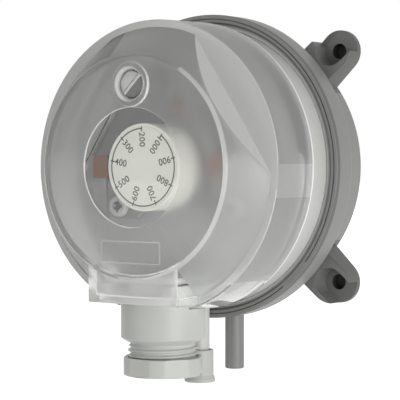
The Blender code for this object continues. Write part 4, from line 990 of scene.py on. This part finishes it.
def finish_of(face):
    """Which finish a face of the cover gets, with painted light and shade zone by zone."""
    centre = face.calc_center_median()
    depth = -centre.y
    reach = math.hypot(centre.x, centre.z)
    from_screw = math.hypot(centre.x, centre.z - screw_height)
    forward = abs(face.normal.y)
    on_window = abs(depth - polished_floor) < 2 * near and reach < window_radius - 1
    on_line = polished_floor - near < depth < front_face and forward < 0.99 and not on_window
    # The foot of the screw's column is painted near-black: painted shade over the post's hole.
    if from_screw < column_radius + near and depth < post_front + 2:
        return "shaded_foot"
    if from_screw < boss_radius + near and depth < well_floor - near:
        return "clear_styrene"
    # The boss's sides get the painted highlight.
    if from_screw < boss_radius + near and depth > inner_face + near:
        return "sparked_plate" if forward > 0.9 else "sparked_painted_highlight"
    # On the lit side and next to the window, the band at the plate's edge gets a painted
    # highlight.
    if (on_line or reach > plate_edge - 2 * near) and depth > front_face - band_slope:
        lit = light_way[0] * centre.x + light_way[1] * centre.z > lit_from
        return "sparked_painted_highlight" if lit or reach < window_radius + 1 else "sparked_plate"
    inside = face.normal.dot(centre - middle) < 0
    on_chin = abs(centre.x) < chin_half + 0.2 and centre.z < -cone_front and depth > ledge - 1
    on_foot = centre.z < -cone_front and depth < ledge
    if inside or on_window or on_chin or on_foot:
        return "clear_styrene"
    if depth > polished_floor - near:
        # The label's frame gets the painted highlight.
        on_frame = abs(depth - front_face + relief + frame_depth) < 0.02
        return "sparked_painted_highlight" if on_frame else "sparked_plate"
    # Painted highlight on the rear edge, painted light on the shelf and the flats, painted shade
    # on the left side.
    if depth < cover_rear + rear_edge:
        return "sparked_rear_painted_highlight"
    if abs(depth - ledge) < 0.3 and -face.normal.y > 0.9:
        return "sparked_shelf_painted_light"
    if centre.x < shaded_before:
        return "sparked_left_painted_shade"
    if depth > ledge and forward < 0.05 and reach > flat_reach - near:
        return "sparked_flat_painted_light"
    on_grip = abs(centre.x) > grip_box[0] + 1 and abs(centre.z - grip_box[2]) < 4.6
    if depth > ledge + 0.05 or on_grip:
        return "sparked_cone"
    # The ledge gets the painted highlight.
    on_ledge = reach > ledge_radius - 0.5 and -face.normal.y > 0.05
    return "sparked_painted_highlight" if on_ledge else "sparked_drum"


finish_order = list(finishes)
for face in cover_solid.faces:
    face.material_index = finish_order.index(finish_of(face))

# The skin of the clear moulding: spark marks with smudges where hands have held it.
tree, taken = new_group("sparked_skin", [], ["Roughness", "Smudge", "Grain Depth"])
place = place_on(tree)
smudged = ramp(tree, noise(tree, place, 160.0, 3.0), 0.3, 0.8,
               end=taken["Smudge"], interpolation_type="SMOOTHSTEP")
sparks = noise(tree, place, 1800.0, 2.0)
sparked_skin = give(tree, Roughness=sum_of(tree, "ADD", taken["Roughness"], smudged),
                    Normal=bumped(tree, 0.00002, taken["Grain Depth"], sparks))


def styrene(name, colour, clearness, roughness, smudge, passed):
    """Polystyrene with the skin above. The light passed is what its shadow keeps."""
    material = finished(
        name, sparked_skin,
        {"Roughness": roughness, "Smudge": smudge, "Grain Depth": 0.1 if smudge else 0.0},
        {"Base Color": (*colour, 1), "Transmission Weight": clearness, "IOR": 1.5})
    tree = material.node_tree
    seen = tree.nodes["Principled BSDF"].outputs[0]
    clear_way = add_node(tree, "BsdfTransparent", {"Color": (*[passed] * 3, 1)}).outputs[0]
    lit = add_node(tree, "MixShader", {0: rays(tree, "Shadow"), 1: seen, 2: clear_way})
    tree.links.new(lit.outputs[0], tree.nodes["Material Output"].inputs["Surface"])
    return material


styrenes = [styrene(name, *values) for name, values in finishes.items()]
cover = add_piece("clear_cover", cover_solid, styrenes, "cover", ["cover"])
for polygon in cover.data.polygons:
    polygon.use_smooth = abs(polygon.normal.y) < 0.98


# Cover screw
# A slotted cheese-head screw, turned from zinc-plated steel, that runs down the boss into the
# body's post. Its slot stands at 45 degrees.
head_radius = 3.6
head_rear = 55.1
head_front = 57.5
screw_tip = 35.3
slot_half = 0.55
slot_floor = head_front - 0.5
# One zinc in three tones: the slot is painted lighter, as painted light, and the head's lower
# right half and the shank inside the post are painted darker, as painted shade.
screw_looks = [
    metal("dull_zinc", (0.42, 0.425, 0.415), (0.32, 0.32, 0.31), 0.5, 0.6),
    metal("zinc_painted_light", (0.56, 0.565, 0.55), (0.4, 0.4, 0.39), 0.5, 0.5),
    metal("zinc_painted_shade", (0.19, 0.19, 0.185), (0.14, 0.14, 0.14), 0.5, 0.6),
]
in_slot, in_shade = 1, 2
screw_profile = [
    (0, screw_tip), (screw_shank * 0.6, screw_tip), (screw_shank, screw_tip + 1.1, 0.2),
    (screw_shank, head_rear, 0.1), (head_radius, head_rear, 0.15), (head_radius, head_front, 0.5),
    (0, head_front),
]
slot_room = placed(prism(box_outline(-head_radius - 1, head_radius + 1, -slot_half, slot_half),
                         slot_floor, head_front + 1), turn=45)
screw_solid = shaped(turned(screw_profile, 96), cuts=[slot_room])
for face in screw_solid.faces:
    centre = face.calc_center_median()
    across_slot = (centre.x - centre.z) * math.sqrt(0.5)
    on_head = -centre.y > head_rear + 1
    if on_head and abs(across_slot) < slot_half + 0.05:
        face.material_index = in_slot
    elif (on_head and across_slot > 0) or screw_tip + 4 < -centre.y < post_front + 2:
        face.material_index = in_shade
add_piece("cover_screw_turned", placed(screw_solid, z=screw_height), screw_looks,
          "cover_screw", ["cover_screw"])


# Cable gland
# A light grey nylon gland for an M20 thread: its collar sits in the shelf, and the nut below
# presses a rubber sleeve round the cable. The thread runs 1.5 mm to the turn.
barrel_top = shelf_bottom - gap
barrel_bottom = barrel_top - 13.5
taper = 1.6
thread_radius = 9.5
thread_root = 8.75
thread_pitch = 1.5
thread_bottom = -54.5
nut_top = -51.1
nut_bottom = -56.0
nut_radius = 10.8
nut_flat = 10.25
nut_floor = nut_bottom + 1.2
nut_turn = -32.24
seal_outer = 8.1
seal_bore = 4.6
gland_bore = 6.2
collar = (11.0, 1.5)
washer_thickness = 0.8
seal_height = 4.4
thread_steps = 64
thread_end = barrel_bottom - 0.2
seal_seat = nut_floor + gap + washer_thickness + gap + seal_height + gap


def threaded(radius, height, angle):
    """A rounded 60 degree thread that climbs one pitch a turn."""
    if radius < thread_root or not thread_bottom < height < thread_end:
        return radius
    phase = (height / thread_pitch - angle / (2 * math.pi)) % 1
    tooth = min(1, max(0, 1.35 - 2.7 * abs(phase - 0.5) * 1.25))
    fade = min(1, (thread_end - height) / 0.5)
    return thread_root + (thread_radius - thread_root) * tooth * fade


gland_profile = [
    (gland_bore, shelf_top + gap + collar[1]), (gland_neck, shelf_top + gap + collar[1]),
    (gland_neck, barrel_top), (gland_radius, barrel_top, 0.25),
    (gland_radius, barrel_bottom + taper, 0.4), (thread_root, barrel_bottom),
]
gland_profile += [(thread_root, barrel_bottom - 0.1 - (barrel_bottom - thread_bottom) * step
                   / thread_steps) for step in range(thread_steps + 1)]
gland_profile += [(seal_outer + gap, nut_floor + gap), (seal_outer + gap, seal_seat),
                  (gland_bore, seal_seat)]
gland_solid = placed(turned(gland_profile[::-1], 128, "Z", closed=True, shape=threaded),
                     depth=gland_depth)
gland_collar = prism(box_outline(-collar[0], collar[0], -gland_depth - collar[0],
                                 -panel_front - fit, 0.8),
                     shelf_top + gap, shelf_top + 2 * gap + collar[1], 0.3, axis="Z")
gland_way = placed(rod(gland_bore, seal_seat - gap, shelf_top + 3, 96, axis="Z"),
                   depth=gland_depth)
add_piece("gland_moulding", shaped(gland_solid, [gland_collar], [gland_way]),
          [light_grey_nylon], "housing", ["gland_body"])

seal_top = seal_seat - gap
seal_bottom = seal_top - seal_height
seal_profile = [(seal_bore, seal_bottom, 0.3), (seal_outer, seal_bottom, 0.3),
                (seal_outer, seal_top, 0.3), (seal_bore + 0.8, seal_top, 0.2),
                (seal_bore, seal_top - 1.2, 0.4)]
add_piece("gland_sleeve", placed(turned(seal_profile, 96, "Z", closed=True), depth=gland_depth),
          [black_rubber], "housing", ["gland_seal"])


def six_flats(radius, height, angle):
    """The nut's outside is a circle with six flats."""
    if radius < thread_radius + 1:
        return radius
    step = math.radians(60)
    offset = (angle - math.radians(nut_turn) + step / 2) % step - step / 2
    return min(radius, nut_flat / math.cos(offset))


nut_bore = thread_radius + 0.1
nut_lip = seal_bore + 0.6
nut_profile = [(nut_bore, nut_top), (nut_bore, nut_floor, 0.3), (nut_lip, nut_floor, 0.3),
               (nut_lip, nut_bottom, 0.4), (nut_radius, nut_bottom, 0.5),
               (nut_radius, nut_top, 0.3)]
add_piece("gland_cap_nut", placed(turned(nut_profile, 180, "Z", closed=True, shape=six_flats),
                                  depth=gland_depth),
          [light_grey_nylon], "gland_nut", ["gland_nut"])


# Port cap
# A soft white sleeve with a thin flange, pushed over the lower-pressure spigot.
cap_inner = spigot_radius + gap
cap_outer = cap_inner + 0.8
cap_floor = spigot_end - gap - 1.5
cap_top = cap_floor + 9
flange_radius = 4.3
cap_profile = [
    (0, spigot_end - gap), (cap_inner, spigot_end - gap, 0.2), (cap_inner, cap_top, 0.15),
    (cap_outer, cap_top, 0.3), (cap_outer, cap_floor + 2.0, 0.8),
    (flange_radius, cap_floor + 0.8, 0.2), (flange_radius, cap_floor, 0.35), (0, cap_floor),
]
soft_white = plastic("soft_white", (0.50, 0.51, 0.485), 0.5, 0.06, 0.0, (0.4, 0.2))
add_piece("port_sleeve", placed(turned(cap_profile, 96, "Z"), depth=front_port_depth),
          [soft_white], "port_cap", ["port_cap"])
